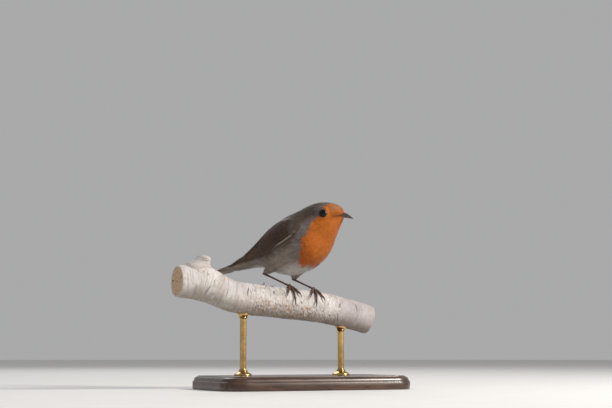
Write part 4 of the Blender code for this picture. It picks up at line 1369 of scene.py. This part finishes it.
# legs: scaled shins and toes, closed round the bark
feet = {
    "scute": 1.55, "toeScute": 1.05, "ridge": 0.055, "groove": 0.10, "shinRows": 110, "shinSides": 24,
    "shin": ((0.0, 0.05, 0.13, 0.3, 0.6, 0.85, 0.95, 1.0), (0.9, 1.5, 1.35, 1.0, 0.95, 1.0, 1.2, 1.25)),
    "toeStart": 0.3, "toeRows": 84, "toeSides": 18, "clawRows": 26, "clawSides": 12, "palmRows": 18,
    "palmSides": 28,
    "clawLift": (0.66, 1.2, 1.35, 1.15, 0.62, 0.02), "clawThick": (0.60, 0.53, 0.44, 0.33, 0.22, 0.05),
    # crease: the colour of painted shade in the grooves between the scales
    "skin": (0.085, 0.040, 0.028), "crease": (0.028, 0.013, 0.010), "joint": (0.16, 0.085, 0.058),
    "claw": (0.040, 0.029, 0.023), "clawWorn": (0.16, 0.125, 0.095),
}


def legFinish():
    n = Finish("leg scales", shine=0.42)
    # painted shade: the groove field darkens the skin towards the crease colour, mostly in the grooves
    # between the scales
    base = n.mix(n.field("groove"), feet["skin"], feet["crease"])
    base = n.mix(n.field("wear"), base, feet["joint"])
    n.weather(base, (1300.0, 0.68, 1.25), (4200.0, 0.46, 0.3), 0.00009)
    return n.material


legMaterial = legFinish()
clawMaterial = hornFinish("claw horn", feet["claw"], feet["clawWorn"], 0.28)


def scales(distance, pitch):  # height of overlapping scales, and how deep in the groove between them
    phase = (distance / pitch) % 1.0
    return phase**0.7 - 0.5, smooth(0.16, 0.0, phase) + smooth(0.95, 1.0, phase)


def steps(share, values):  # between evenly spaced values
    return float(np.interp(share * (len(values) - 1), range(len(values)), values))


def makeShin(name, leg):
    heel = leg["heel"] + middle
    way = onPerch(leg["grip"], 0.0, toeJointHeight) - heel
    length, way = way.length - 0.5, way.normalized()
    front = (across - way * across.dot(way)).normalized()
    sideways = way.cross(front).normalized()
    rows, sides = feet["shinRows"], feet["shinSides"]
    points, groove, wear = [], [], []
    for i in range(rows + 1):
        share = i / rows
        wide = tarsusRadius * float(np.interp(share, *feet["shin"]))
        rise, cut = scales(share * length, feet["scute"])
        for turn in circle(sides):
            ahead = max(0.0, math.cos(turn)) ** 0.5
            radius = wide * (1.0 + feet["ridge"] * 1.6 * rise * ahead - feet["groove"] * cut * ahead)
            oval = front * math.cos(turn) * 1.08 + sideways * math.sin(turn) * 0.90
            points.append((heel + way * (length * share) + oval * radius) * mm)
            groove.append(min(1.0, 0.85 * cut * ahead))
            wear.append(0.5 * (smooth(0.10, 0.0, share) + smooth(0.92, 1.0, share)) + 0.12 * (1.0 - ahead))
    faces = loftFaces(rows + 1, sides)
    solid("shin_" + name, points, faces, legMaterial, "leg_skin", "tarsus_" + name, groove=groove, wear=wear)


def toePath(grip, start, end, spread, heights, count):
    path, ups = [], []
    for i in range(count + 1):
        share = i / count
        reach = start + (end - start) * share
        turn = reach * math.cos(spread) / perch["radius"]
        at = grip + reach * math.sin(spread)
        path.append(onPerch(at, turn, steps(share, heights)) * mm)
        ahead, side, up = perchFrame(at)
        ups.append(up * math.cos(turn) + side * math.sin(turn))
    return path, ups


def makeClaw(name, node, grip, length, claw, spread):
    rows, sides = feet["clawRows"], feet["clawSides"]
    heights = [airGap + h for h in feet["clawLift"]]
    path, ups = toePath(grip, length - 0.55, length + claw, spread, heights, rows)
    radii = [mm * steps(i / rows, feet["clawThick"]) for i in range(rows + 1)]
    points = tubeOf(path, radii, sides, 1.12, ups)
    worn = np.repeat(np.linspace(0.0, 1.0, rows + 1) ** 2 * 0.7, sides)
    solid(name, points, loftFaces(rows + 1, sides), clawMaterial, "horn", node, wear=worn)


def toeTube(grip, toe, length, spread):  # points of one toe, how deep in the grooves and how worn
    thick = [0.95 - 0.28 * i / 6 + 0.07 * math.cos(2 * math.pi * 3.0 * i / 6) for i in range(7)]
    thick[-1] *= 0.86
    low = [airGap * 0.6 + r for r in thick]
    low[0], low[1] = toeJointHeight - 0.25, max(low[1], 1.35)
    rows, sides = feet["toeRows"], feet["toeSides"]
    joints = [length * share for share in ((0.5, 1.0) if toe == "hind" else (0.33, 0.66, 1.0))]

    def reachAt(i):
        return feet["toeStart"] + (length - feet["toeStart"]) * i / rows

    def radius(i, turn):
        share, reach = i / rows, feet["toeStart"] + (length - feet["toeStart"]) * (i / rows)
        rise, cut = scales(reach, feet["toeScute"])
        over = max(0.0, math.cos(turn)) ** 0.5
        pad = sum(0.10 * math.exp(-(((reach - 0.82 * joint) / 0.7) ** 2)) for joint in joints)
        pad *= max(0.0, -math.cos(turn))
        end = math.sqrt(max(0.02, 1.0 - (max(0.0, share - 0.94) / 0.06) ** 2))
        relief = 1.0 + feet["ridge"] * 1.5 * rise * over - feet["groove"] * cut * over + pad
        return steps(share, thick) * mm * end * relief

    groove, wear = [], []
    for i, turn in product(range(rows + 1), circle(sides)):
        over = max(0.0, math.cos(turn)) ** 0.5
        groove.append(min(1.0, 0.85 * scales(reachAt(i), feet["toeScute"])[1] * over))
        wear.append(0.35 * (1.0 - over) + 0.2 * math.exp(-(((reachAt(i) - 0.5 * length) / 1.0) ** 2)))
    path, ups = toePath(grip, feet["toeStart"], length, spread, low, rows)
    return tubeOf(path, radius, sides, 0.96, ups), groove, wear


def makeFoot(name, leg):
    points, faces, groove, wear = [], [], [], []
    for toe, (length, claw, degrees) in toes.items():
        spread = math.radians(degrees) * (-1.0 if name == "left" and degrees < 100.0 else 1.0)
        faces += loftFaces(feet["toeRows"] + 1, feet["toeSides"], len(points))
        for kept, new in zip((points, groove, wear), toeTube(leg["grip"], toe, length, spread)):
            kept += new
        makeClaw(f"talon_{toe}_{name}", f"claw_{toe}_{name}", leg["grip"], length, claw, spread)
    joint = onPerch(leg["grip"], 0.0, toeJointHeight)
    ahead, sideways, up = perchFrame(leg["grip"])
    rings, around = feet["palmRows"], feet["palmSides"]
    faces += loftFaces(rings + 1, around, len(points))
    for i, spin in product(range(rings + 1), circle(around)):
        turn = 0.03 + (math.pi - 0.06) * i / rings
        out = ahead * (math.sin(turn) * math.cos(spin)) + sideways * (math.sin(turn) * math.sin(spin)) * 1.08
        out += up * math.cos(turn) * 0.98
        knobs = math.sin(9.0 * turn) * math.cos(8.0 * spin)
        points.append((joint + out * 1.5 * (1.0 + 0.03 * knobs)) * mm)
        groove.append(0.25 + 0.25 * knobs)
        wear.append(0.25)
    solid("toes_" + name, points, faces, legMaterial, "leg_skin", "foot_" + name, groove=groove, wear=wear)


for name, leg in legs.items():
    makeShin(name, leg)
    makeFoot(name, leg)
print("legs and feet made")


# perch: a cut length of birch, with its broken side branch
birch = {
    "step": 0.42, "around": 160, "sink": 0.10, "lenticels": 260, "endRings": 16,
    "cracks": (  # place along, degrees round, half length, width, depth
        (-46.5, 62.0, 3.4, 0.42, 0.9), (-77.0, 118.0, 3.6, 0.36, 0.7), (-63.0, 96.0, 2.2, 0.40, 0.6),
        (-80.5, 62.0, 1.8, 0.34, 0.6), (-38.0, 118.0, 2.0, 0.36, 0.6), (39.0, 62.0, 4.5, 0.40, 0.7),
        (26.0, 125.0, 3.0, 0.36, 0.6), (-70.0, 250.0, 6.0, 0.4, 0.6), (12.0, 215.0, 5.0, 0.4, 0.6),
    ),
    "checks": ((31, 3), (88, 2), (123, 4)),  # shrinkage cracks in the sawn wood: where in the ring, how deep
    "pale": (0.64, 0.61, 0.59), "warm": (0.50, 0.435, 0.39), "mauve": (0.40, 0.345, 0.36),
    # under: a darker brown for painted shade on the branch's underside
    "grey": (0.265, 0.235, 0.235), "dark": (0.034, 0.022, 0.019), "under": (0.33, 0.275, 0.205),
    "stain": (0.34, 0.175, 0.09), "band": (0.15, 0.115, 0.10), "wood": (0.50, 0.37, 0.24),
    "ring": (0.27, 0.165, 0.09), "weathered": (0.20, 0.14, 0.09), "pith": (0.10, 0.06, 0.035),
}


def noiseAt(places, scale, shift=0.0):
    return np.array([noise.noise(p * scale + Vector((shift, 0.7 * shift, 0.3))) for p in places])


def wrapped(angle):  # brought between half a turn back and half a turn on
    return (angle + math.pi) % (2.0 * math.pi) - math.pi


def barkField(at, turn):  # relief and marks at each place on the bark; at in mm, turn in radians, 0 on top
    rng = np.random.default_rng(31)
    places = [Vector((a * 0.11, math.cos(t) * 1.1, math.sin(t) * 1.1)) for a, t in zip(at, turn)]
    ringed = [Vector((a * 1.1, math.cos(t) * 0.9, math.sin(t) * 0.9)) for a, t in zip(at, turn)]
    drawn = [Vector((p.x * 12.0, p.y * 4.5, p.z * 4.5)) for p in places]
    broad, knobs, hoops = noiseAt(places, 0.9), noiseAt(places, 3.1, 9.0), noiseAt(ringed, 1.0, 4.0)
    top, pits = np.cos(turn), noiseAt(drawn, 1.0, 2.0)
    rough = smooth(-49.0, -42.0, at) * smooth(34.0, 20.0, at)
    rough = rough + 0.8 * hill(at - perch["stubAt"] - 8.0, 6.0) * (top > 0)
    relief = 0.26 * broad + 0.12 * knobs + 0.09 * hoops
    relief = relief + 0.38 * rough * (np.abs(noiseAt(places, 6.0, 5.0)) + 0.6 * pits)
    dark = 0.62 * rough * smooth(0.27, 0.58, -pits)
    for i in range(birch["lenticels"]):
        where, angle = rng.uniform(*perch["ends"]), rng.uniform(0, 2 * math.pi)
        long, wide = rng.uniform(0.5, 1.9) ** 1.2, rng.uniform(0.18, 0.30)
        deep = rng.uniform(0.15, 0.8)
        off = wrapped(turn - angle) * perch["radius"]
        d = np.hypot(off / long, (at - where - 0.10 * off * rng.uniform(-1, 1)) / wide)
        slit = np.exp(-(d**2))
        relief += deep * (0.08 * np.exp(-((d - 1.7) ** 2) * 1.6) - 0.10 * slit)
        dark = np.maximum(dark, deep * slit)
    for where, degrees, long, wide, deep in birch["cracks"]:
        off = wrapped(turn - math.radians(degrees)) * perch["radius"]
        bend = at - (where + 0.5 * np.sin(off * 0.5 + where) + 0.16 * off * math.sin(where))
        narrow = wide * (0.35 + 0.65 * hill(off, long))
        slit = np.exp(-((bend / narrow) ** 2) - (off / (1.5 * long)) ** 4)
        lips = np.exp(-(((bend - 1.7 * wide) / wide) ** 2) - (off / (1.3 * long)) ** 4)
        relief += 0.22 * lips * deep - 0.55 * slit * deep
        dark = np.maximum(dark, deep * slit)
    face = smooth(0.15, 0.9, np.sin(turn)) * smooth(0.25, -0.25, top)
    worn = 0.50 * face * smooth(-48.0, -34.0, at) * smooth(16.0, 2.0, at)
    mauve = smooth(16.0, 30.0, at + 12.0 * broad) * 0.7 + 0.6 * hill(at + 56.0, 9.0) * smooth(-0.3, 0.6, top)
    # the last term greys the underside of the branch: painted shade
    grey = 0.40 * smooth(0.1, 0.6, broad) + 0.35 * smooth(20.0, 44.0, at) + 0.25 * np.clip(-top, 0.0, 1.0)
    stain = smooth(0.16, 0.50, noiseAt(places, 4.4, 7.0) + worn - 0.26)
    marked = {"dark": dark, "stain": stain, "grey": grey, "mauve": mauve}
    return relief, {label: list(np.clip(values, 0.0, 1.0)) for label, values in marked.items()}


def barkFinish():
    n = Finish("birch bark", shine=0.25)
    place = n.field("barkPlace", "Vector")  # mm along, then mm across and up in the round of the branch
    x, y, z = n.split(place)

    def hoops(alongScale, aroundScale, detail, rough):  # noise drawn out round the branch
        drawn = n.join(n.times(x, alongScale), n.times(y, aroundScale), n.times(z, aroundScale))
        return n.noise(drawn, 1.0, detail, rough)

    paper, bands = hoops(3.4, 0.20, 4.0, 0.7), hoops(0.75, 0.10, 3.0, 0.55)
    wide, fine = n.noise(place, 0.15, 4.0, 0.6), n.noise(place, 2.4, 4.0, 0.7)
    colour = n.mix(n.span(wide, 0.40, 0.66, 0.0, 0.85), birch["pale"], birch["warm"])
    colour = n.mix(n.span(bands, 0.50, 0.68, 0.0, 0.55), colour, birch["grey"])
    colour = n.mix(n.times(n.field("mauve"), 0.75), colour, birch["mauve"])
    # the grey field holds real grey patches and painted shade on the branch's underside
    colour = n.mix(n.times(n.field("grey"), 0.75), colour, birch["grey"])
    # painted shade: darker and browner towards the underside of the branch
    below = n.times(n.span(z, -2.0, -11.0, 0.0, 0.7), n.span(wide, 0.3, 0.6, 0.5, 1.0))
    colour = n.mix(below, colour, birch["under"])
    colour = n.mix(n.times(n.field("stain"), n.span(fine, 0.36, 0.58, 0.1, 0.85)), colour, birch["stain"])
    tone = n.times(n.span(paper, 0.32, 0.68, 1.09, 0.85), n.span(fine, 0.3, 0.7, 0.93, 1.07))
    colour = n.scaled(colour, tone)
    streaks = n.times(n.span(paper, 0.64, 0.72, 0.0, 0.6), n.span(wide, 0.35, 0.6, 0.0, 1.0))
    colour = n.mix(streaks, colour, birch["band"])
    crack = n.plus(n.field("dark"), n.times(n.minus(fine, 0.5), 0.7))
    colour = n.mix(n.span(crack, 0.34, 0.58, 0.0, 0.94), colour, birch["dark"])
    grain = n.field("grainPlace", "Vector")
    wobble = n.noise(grain, 0.35, 3.0)
    fromPith = n.plus(n.vector("LENGTH", grain), n.times(wobble, 2.2))
    years, seasons = n.math("SINE", n.times(fromPith, 6.2)), n.math("SINE", n.times(fromPith, 1.9))
    rings = n.plus(years, n.times(seasons, 0.6))
    wood = n.mix(n.span(rings, -0.6, 1.3, 0.0, 0.85), birch["wood"], birch["ring"])
    wood = n.mix(n.span(fine, 0.45, 0.7, 0.0, 0.6), wood, birch["weathered"])
    wood = n.mix(n.span(n.vector("LENGTH", grain), 0.5, 1.1, 0.8, 0.0), wood, birch["pith"])
    wood = n.mix(n.span(crack, 0.34, 0.58, 0.0, 0.94), wood, birch["dark"])
    n.paint(n.mix(n.field("cut"), colour, wood))
    n.gloss(n.span(paper, 0.3, 0.7, 0.60, 0.86))
    n.relief(n.plus(n.times(paper, -0.8), n.times(fine, 0.45)), 0.00030, 0.9)
    return n.material


def makePerch(material):
    low, high = perch["ends"]
    count, around, rings = int((high - low) / birch["step"]), birch["around"], birch["endRings"]
    at = np.repeat(np.linspace(low, high, count + 1), around)
    turn = np.tile(2.0 * math.pi * np.arange(around) / around, count + 1)
    relief, field = barkField(at, turn)
    calm = np.exp(-((at + 1.0) / 16.0) ** 4) * smooth(-0.4, 0.5, np.cos(turn))  # nothing lifts the toes
    relief = np.minimum(relief, 0.45) * (1.0 - 0.75 * calm) - birch["sink"]
    relief -= 0.5 * (1.0 - np.minimum(smooth(0.0, 1.2, at - low), smooth(0.0, 1.2, high - at)))
    points = [onPerch(a, t, r) * mm for a, t, r in zip(at, turn, relief)]
    places = [(a, 11.0 * math.sin(t), 11.0 * math.cos(t)) for a, t in zip(at, turn)]
    faces = loftFaces(count + 1, around, capped=False)
    cut, grain = [0.0] * len(points), [(9.0, 9.0, 0.0)] * len(points)
    for end, rim, ahead in ((low, 0, -1.0), (high, count * around, 1.0)):
        centre, ahead = perchAxis(end), perchFrame(end)[0] * ahead
        previous = rim
        for j in range(1, rings + 1):
            share = 1.0 - (j - 0.5) / (rings + 0.1) if j > 1 else 0.965
            sawn, ring = share < 0.95, len(points)
            for k in range(around):
                place = centre + (points[rim + k] / mm - centre) * share
                split = max(
                    math.exp(-(((k - where + 0.8 * math.sin(9.0 * share)) / 1.1) ** 2))
                    * smooth(0.1 * deep, 0.1 * deep + 0.3, share)
                    for where, deep in birch["checks"]
                )
                rough = 0.30 * noise.noise(place * 0.45) + 0.12 * noise.noise(place * 1.6)
                points.append((place + ahead * (rough - 0.25 - 0.5 * split * sawn)) * mm)
                places.append((end, place.y, place.z))
                for label in field:
                    field[label].append(0.8 * split * sawn if label == "dark" else 0.2)
                cut.append(0.0 if share > 0.96 else 1.0)
                grain.append((share * 10.5 * math.cos(turn[k]), share * 10.5 * math.sin(turn[k]), 0.0))
                a, b = k, (k + 1) % around
                faces.append((previous + a, previous + b, ring + b, ring + a))
            previous = ring
        faces.append(tuple(range(previous, previous + around)))
    layers = {"cut": cut, "barkPlace": places, "grainPlace": grain}
    solid("birch_perch", points, faces, material, "birch_bark", "perch", **field, **layers)
    print("birch_perch", len(faces), "faces")


# the broken side branch: a healed knob on a collar that slopes away to one side
knob = {
    "sides": 90, "rows": 96, "flare": 1.25, "foot": 2.0,
    "creases": ((0.80, 0.012, 0.9), (0.74, 0.010, 0.5), (0.69, 0.012, 0.55), (0.895, 0.010, 0.6)),
    "heights": (0.0, 0.30, 0.45, 0.55, 0.65, 0.73, 0.80, 0.84, 0.88, 0.92, 0.95, 0.97, 0.985, 0.995, 1.0),
    "widths": (1.9, 1.78, 1.58, 1.34, 1.14, 1.03, 0.97, 0.99, 1.0, 0.95, 0.84, 0.67, 0.47, 0.26, 0.06),
}


def makeStub(material):
    foot = perchAxis(perch["stubAt"]) + Vector((0, 0, knob["foot"]))
    lean = (Vector((0, 0, 1)) + along * 0.12 + across * 0.18).normalized()
    sideways = lean.cross(along).normalized()
    ahead = sideways.cross(lean).normalized()
    count, sides = knob["rows"], knob["sides"]
    points, places, dark, grey = [], [], [], []
    for i, turn in product(range(count + 1), circle(sides)):
        share = (i / count) ** 0.8
        share = share * 0.9 if share < 0.8 else 0.72 + 0.28 * (1.0 - (1.0 - (share - 0.8) / 0.2) ** 1.6)
        cosine, sine = math.cos(turn), math.sin(turn)
        spot = Vector((cosine * 1.4, sine * 1.4, share * 9.0))
        lump = 0.065 * noise.noise(spot) + 0.035 * noise.noise(spot * 2.9)
        slope = knob["flare"] * max(0.0, -cosine) ** 1.5 * smooth(0.96, 0.50, share)
        folds = 0.10 * max(0.0, noise.noise(spot * 2.2 + Vector((5, 0, 0)))) * max(0.0, cosine)
        folds *= smooth(0.8, 0.6, share)
        waver, crease = 0.25 * noise.noise(spot * 0.9), 0.0
        for at, thick, deep in knob["creases"]:
            held = 0.75 + 1.5 * noise.noise(spot * 0.8 + Vector((at * 50, 0, 0)))
            near = math.exp(-(((share - at - 0.04 * waver) / thick) ** 2))
            crease = max(crease, deep * near * min(1.0, max(0.0, held)))
        wide = float(np.interp(share, knob["heights"], knob["widths"]))
        radius = perch["stubRadius"] * (wide + lump + slope + folds - 0.09 * crease)
        rise = perch["stubTall"] * share + 1.2 * lump * smooth(0.9, 1.0, share)
        points.append((foot + lean * rise + (ahead * cosine + sideways * sine) * radius) * mm)
        places.append((share * 19.5, 5.0 * sine, 4.0 + 5.0 * cosine))
        hollow = smooth(0.86, 0.93, share) * max(0.0, -math.cos(turn + 0.5))  # weathered wood beside the top
        dark.append(max(0.85 * crease, 0.45 * hollow))
        grey.append(0.15 + 0.5 * max(0.0, noise.noise(spot * 0.8)) + 0.4 * hollow)
    layers = {"dark": dark, "grey": grey, "stain": 0.1, "mauve": 0.1, "cut": 0.0, "barkPlace": places}
    faces = loftFaces(count + 1, sides)
    solid("birch_stub", points, faces, material, "birch_bark", **layers, grainPlace=(9.0, 9.0, 0.0))


flakes = {  # where, degrees round, length, width and curl in mm
    "placed": ((-33.5, 12.0, 5.0, 3.4, 1.9), (-29.0, 25.0, 3.0, 2.4, 1.0)), "scattered": 14, "seed": 77,
    "rows": 8, "columns": 5, "thick": 0.16,
}


def flakePlace(where, degrees, long, wide, curl, seed):
    turn = math.radians(degrees)

    def place(s, q, height):
        ragged = 0.25 * noise.noise(Vector((s * 3.0, q * 2.0, seed)))
        reach = (q + 0.35 * ragged) * long * 0.5 * (1.0 - 0.35 * s) + ragged
        lift = curl * s**1.8 + 0.12 * curl * ragged - 0.10 * (1.0 - s)
        at = where + wide * (s - 0.5 * curl * s**3 * 0.6) + 0.3 * ragged
        return onPerch(at, turn + reach / perch["radius"], lift + height + 0.05) * mm

    return place


def makeFlakes(material):  # papery bark that has let go along one edge
    rng = np.random.default_rng(flakes["seed"])
    chosen = list(flakes["placed"])
    for i in range(flakes["scattered"]):
        where = rng.uniform(-90, 52)
        if abs(where + 1.0) > 21.0:
            sizes = ((0, 360), (2.0, 4.5), (0.9, 2.0), (0.35, 1.1))
            chosen.append((where, *(rng.uniform(*size) for size in sizes)))
    points, faces, places, shade = [], [], [], []
    shape = [flakes[key] for key in ("rows", "columns", "thick")]
    for flake in chosen:
        seed = rng.uniform(0, 50)
        new, facts, newFaces = platedVane(flakePlace(*flake, seed), lambda s, q, sheet: (), *shape)
        faces += moved(newFaces, len(points))
        points += new
        places += [(flake[0] + s * 3.0, q * 4.0 + seed, 8.0) for s, q in facts]
        shade += [0.0] * (len(new) // 2) + [0.55] * (len(new) // 2)
    layers = {"stain": shade, "dark": 0.0, "grey": 0.25, "mauve": 0.1, "cut": 0.0, "barkPlace": places}
    solid("bark_flakes", points, faces, material, "birch_bark", **layers, grainPlace=(9.0, 9.0, 0.0))


barkMaterial = barkFinish()
makePerch(barkMaterial)
makeStub(barkMaterial)
makeFlakes(barkMaterial)


# display stand: a moulded dark base and two turned brass rods
stand = {
    "size": (150.0, 84.0, 10.0), "corner": 16.0, "cornerSteps": 18,
    "profile": (  # out from the edge, then up
        (-0.9, 0.0), (-0.15, 0.5), (0.0, 1.3), (0.0, 5.6), (-0.35, 6.1), (-0.9, 6.3), (-1.0, 6.9),
        (-1.35, 7.9), (-2.1, 8.8), (-3.1, 9.35), (-3.9, 9.55), (-4.1, 9.95), (-4.5, 10.0),
    ),
    "rods": {"front": 32.0, "rear": -46.0}, "radius": 2.4, "flange": 6.5, "around": 72, "bedded": 1.1,
    "dark": (0.040, 0.017, 0.0085), "light": (0.100, 0.045, 0.020), "pore": (0.014, 0.007, 0.004),
    "brass": (0.64, 0.42, 0.17), "tarnish": (0.17, 0.10, 0.045),
}


def woodFinish():
    n = Finish("dark wood", shine=0.5, coatRough=0.16, coatIndex=1.45)
    turn = n.add("ShaderNodeMapping", {"Vector": n.place()}, vector_type="TEXTURE")
    turn.inputs["Rotation"].default_value = (0.0, 0.0, perch["heading"])
    x, y, z = n.split(turn.outputs[0])
    drawn = n.join(n.times(x, 9.0), n.times(y, 95.0), n.times(z, 70.0))
    bend, pore = n.noise(drawn, 0.55, 3.0, 0.5, 0.6), n.noise(drawn, 9.0, 3.0, 0.6)
    figure = n.math("SINE", n.times(bend, 46.0))
    colour = n.mix(n.span(figure, -1.0, 1.0, 0.0, 0.6), stand["dark"], stand["light"])
    n.paint(n.mix(n.span(pore, 0.56, 0.68, 0.0, 0.8), colour, stand["pore"]))
    n.gloss(n.effect(pitGroup, Vector=n.place(), Scale=700.0, Rough=0.36, Spread=0.2)["Roughness"])
    n.feed(n.surface["Coat Weight"], n.span(pore, 0.45, 0.68, 0.6, 0.25))
    n.relief(n.times(pore, -1.0), 0.00010, 0.5)
    return n.material


def brassFinish():
    n = Finish("turned brass", metal=1.0)
    lathe = n.noise(n.join(z=n.times(n.split(n.place())[2], 9000.0)), 1.0, 2.0)
    tarnish = n.span(n.field("crevice"), 0.1, 1.0, 0.0, 0.75)
    n.weather(n.mix(tarnish, stand["brass"], stand["tarnish"]), (240.0, 0.72, 1.08), (900.0, 0.25, 0.22))
    n.relief(lathe, 0.00002, 0.6)
    return n.material


def makeBase():
    wide, deep = stand["size"][:2]
    corner, steps = stand["corner"], stand["cornerSteps"]
    cosine, sine = math.cos(perch["heading"]), math.sin(perch["heading"])
    corners = ((1, 1, 0), (-1, 1, 90), (-1, -1, 180), (1, -1, 270))
    points = []
    for (inset, z), (cx, cy, start), k in product(stand["profile"], corners, range(steps + 1)):
        turn = math.radians(start + 90.0 * k / steps)
        x = cx * (wide / 2 - corner) + (corner + inset) * math.cos(turn)
        y = cy * (deep / 2 - corner) + (corner + inset) * math.sin(turn)
        points.append(Vector((x * cosine - y * sine, x * sine + y * cosine, z)) * mm)
    faces = loftFaces(len(stand["profile"]), 4 * (steps + 1))
    solid("wood_base", points, faces, woodMaterial, "dark_wood", "stand_base", sharp=38)


def makeRod(name, at):
    top, low = onPerch(at, math.pi).z + stand["bedded"], stand["size"][2] + airGap * 0.3
    tall, shank, flange = top - low, stand["radius"], stand["flange"]
    side = (  # out from the rod's axis, up, and how far in a crevice
        (flange - 0.25, 0.0, 0.0), (flange, 0.2, 0.3), (flange, 0.95, 0.0), (flange - 0.25, 1.25, 0.1),
        (flange - 0.6, 1.35, 0.6), (flange - 0.9, 1.75, 0.2), (flange - 1.8, 2.05, 0.1),
        (flange - 2.6, 2.5, 0.3), (3.25, 3.0, 0.6), (3.45, 3.45, 0.0), (3.25, 3.9, 0.5), (2.75, 4.15, 0.9),
        (shank + 0.05, 4.7, 0.2), (shank, 5.4, 0.0), (shank, tall * 0.5, 0.0), (shank, tall - 5.4, 0.0),
        (shank + 0.1, tall - 4.6, 0.3), (2.9, tall - 4.3, 0.7), (3.2, tall - 3.9, 0.0),
        (3.0, tall - 3.4, 0.7), (3.3, tall - 2.9, 0.2), (4.05, tall - 2.0, 0.0), (4.2, tall - 1.2, 0.0),
        (4.2, tall - 0.5, 0.1), (3.9, tall, 0.2),
    )
    centre, around = perchAxis(at), stand["around"]
    points = [
        Vector((centre.x + radius * math.cos(turn), centre.y + radius * math.sin(turn), low + z)) * mm
        for (radius, z, deep), turn in product(side, circle(around))
    ]
    layers = {"sharp": 50, "crevice": np.repeat([deep for radius, z, deep in side], around)}
    node = "stand_rod_" + name
    solid("brass_rod_" + name, points, loftFaces(len(side), around), brassMaterial, "brass", node, **layers)


woodMaterial, brassMaterial = woodFinish(), brassFinish()
makeBase()
for name, at in stand["rods"].items():
    makeRod(name, at)
print("stand made")


# stage, light and camera
stage = {
    "floor": (0.74, 0.73, 0.72), "around": 96, "radius": 4.0, "world": (0.80, 0.80, 0.81),
    "worldStrength": 0.50,
}


def makeStage():
    n = Finish("pale floor", rough=0.7, shine=0.2)
    n.weather(stage["floor"], (30.0, 0.985, 1.015))
    turns = circle(stage["around"])
    points = [(stage["radius"] * math.cos(turn), stage["radius"] * math.sin(turn), 0.0) for turn in turns]
    floor = newPiece("floor", meshOf("floor", points, [tuple(range(len(points)))]), n.material)
    floor.data.shade_flat()
    world = bpy.data.worlds.new("studio")
    world.use_nodes = True
    world.node_tree.nodes["Background"].inputs["Color"].default_value = (*stage["world"], 1.0)
    world.node_tree.nodes["Background"].inputs["Strength"].default_value = stage["worldStrength"]
    bpy.context.scene.world = world


bpy.context.scene.view_settings.view_transform = "Standard"
view = {
    "azimuth": math.radians(30.0), "elevation": math.radians(-7.0), "distance": 0.9, "width": 0.453,
    "sensor": 36.0,
    "clip": (0.01, 20.0), "aside": -0.013, "above": 0.0072,  # from the right eye to the middle of the view
}


def makeCamera():
    a, e = view["azimuth"], view["elevation"]
    back = Vector((math.sin(a) * math.cos(e), -math.cos(a) * math.cos(e), math.sin(e)))
    right = Vector((math.cos(a), math.sin(a), 0.0))
    up = back.cross(right)
    centre = eyes["right"].centre + right * view["aside"] + up * view["above"]
    camera = bpy.data.objects.new("camera", bpy.data.cameras.new("camera"))
    bpy.context.scene.collection.objects.link(camera)
    camera.data.sensor_width = view["sensor"]
    camera.data.lens = view["sensor"] * view["distance"] / view["width"]
    camera.data.clip_start, camera.data.clip_end = view["clip"]
    turn = Matrix((right, up, back)).transposed().to_4x4()
    camera.matrix_world = Matrix.Translation(centre + back * view["distance"]) @ turn
    bpy.context.scene.camera = camera
    return back, right, centre


def makeLight(name, aside, behind, above, size, power, colour, glossy=True):
    light = bpy.data.lights.new(name, "AREA")
    light.shape, light.size, light.energy, light.color = "DISK", size, power, colour
    obj = bpy.data.objects.new(name, light)
    bpy.context.scene.collection.objects.link(obj)
    obj.location = centre + right * aside + back * behind + Vector((0, 0, above))
    obj.rotation_euler = (obj.location - centre).to_track_quat("Z", "Y").to_euler()
    obj.visible_glossy = glossy  # the broad fill leaves no haze on the eye


makeStage()
back, right, centre = makeCamera()
makeLight("key", 0.95, 0.34, 0.55, 0.34, 15.0, (1.0, 0.96, 0.90))
makeLight("fill", -0.8, 0.9, 0.45, 0.9, 3.2, (1.0, 0.99, 0.98), glossy=False)
makeLight("rim", -0.35, -0.9, 0.7, 0.6, 4.0, (1.0, 1.0, 1.0))
print("stage set")
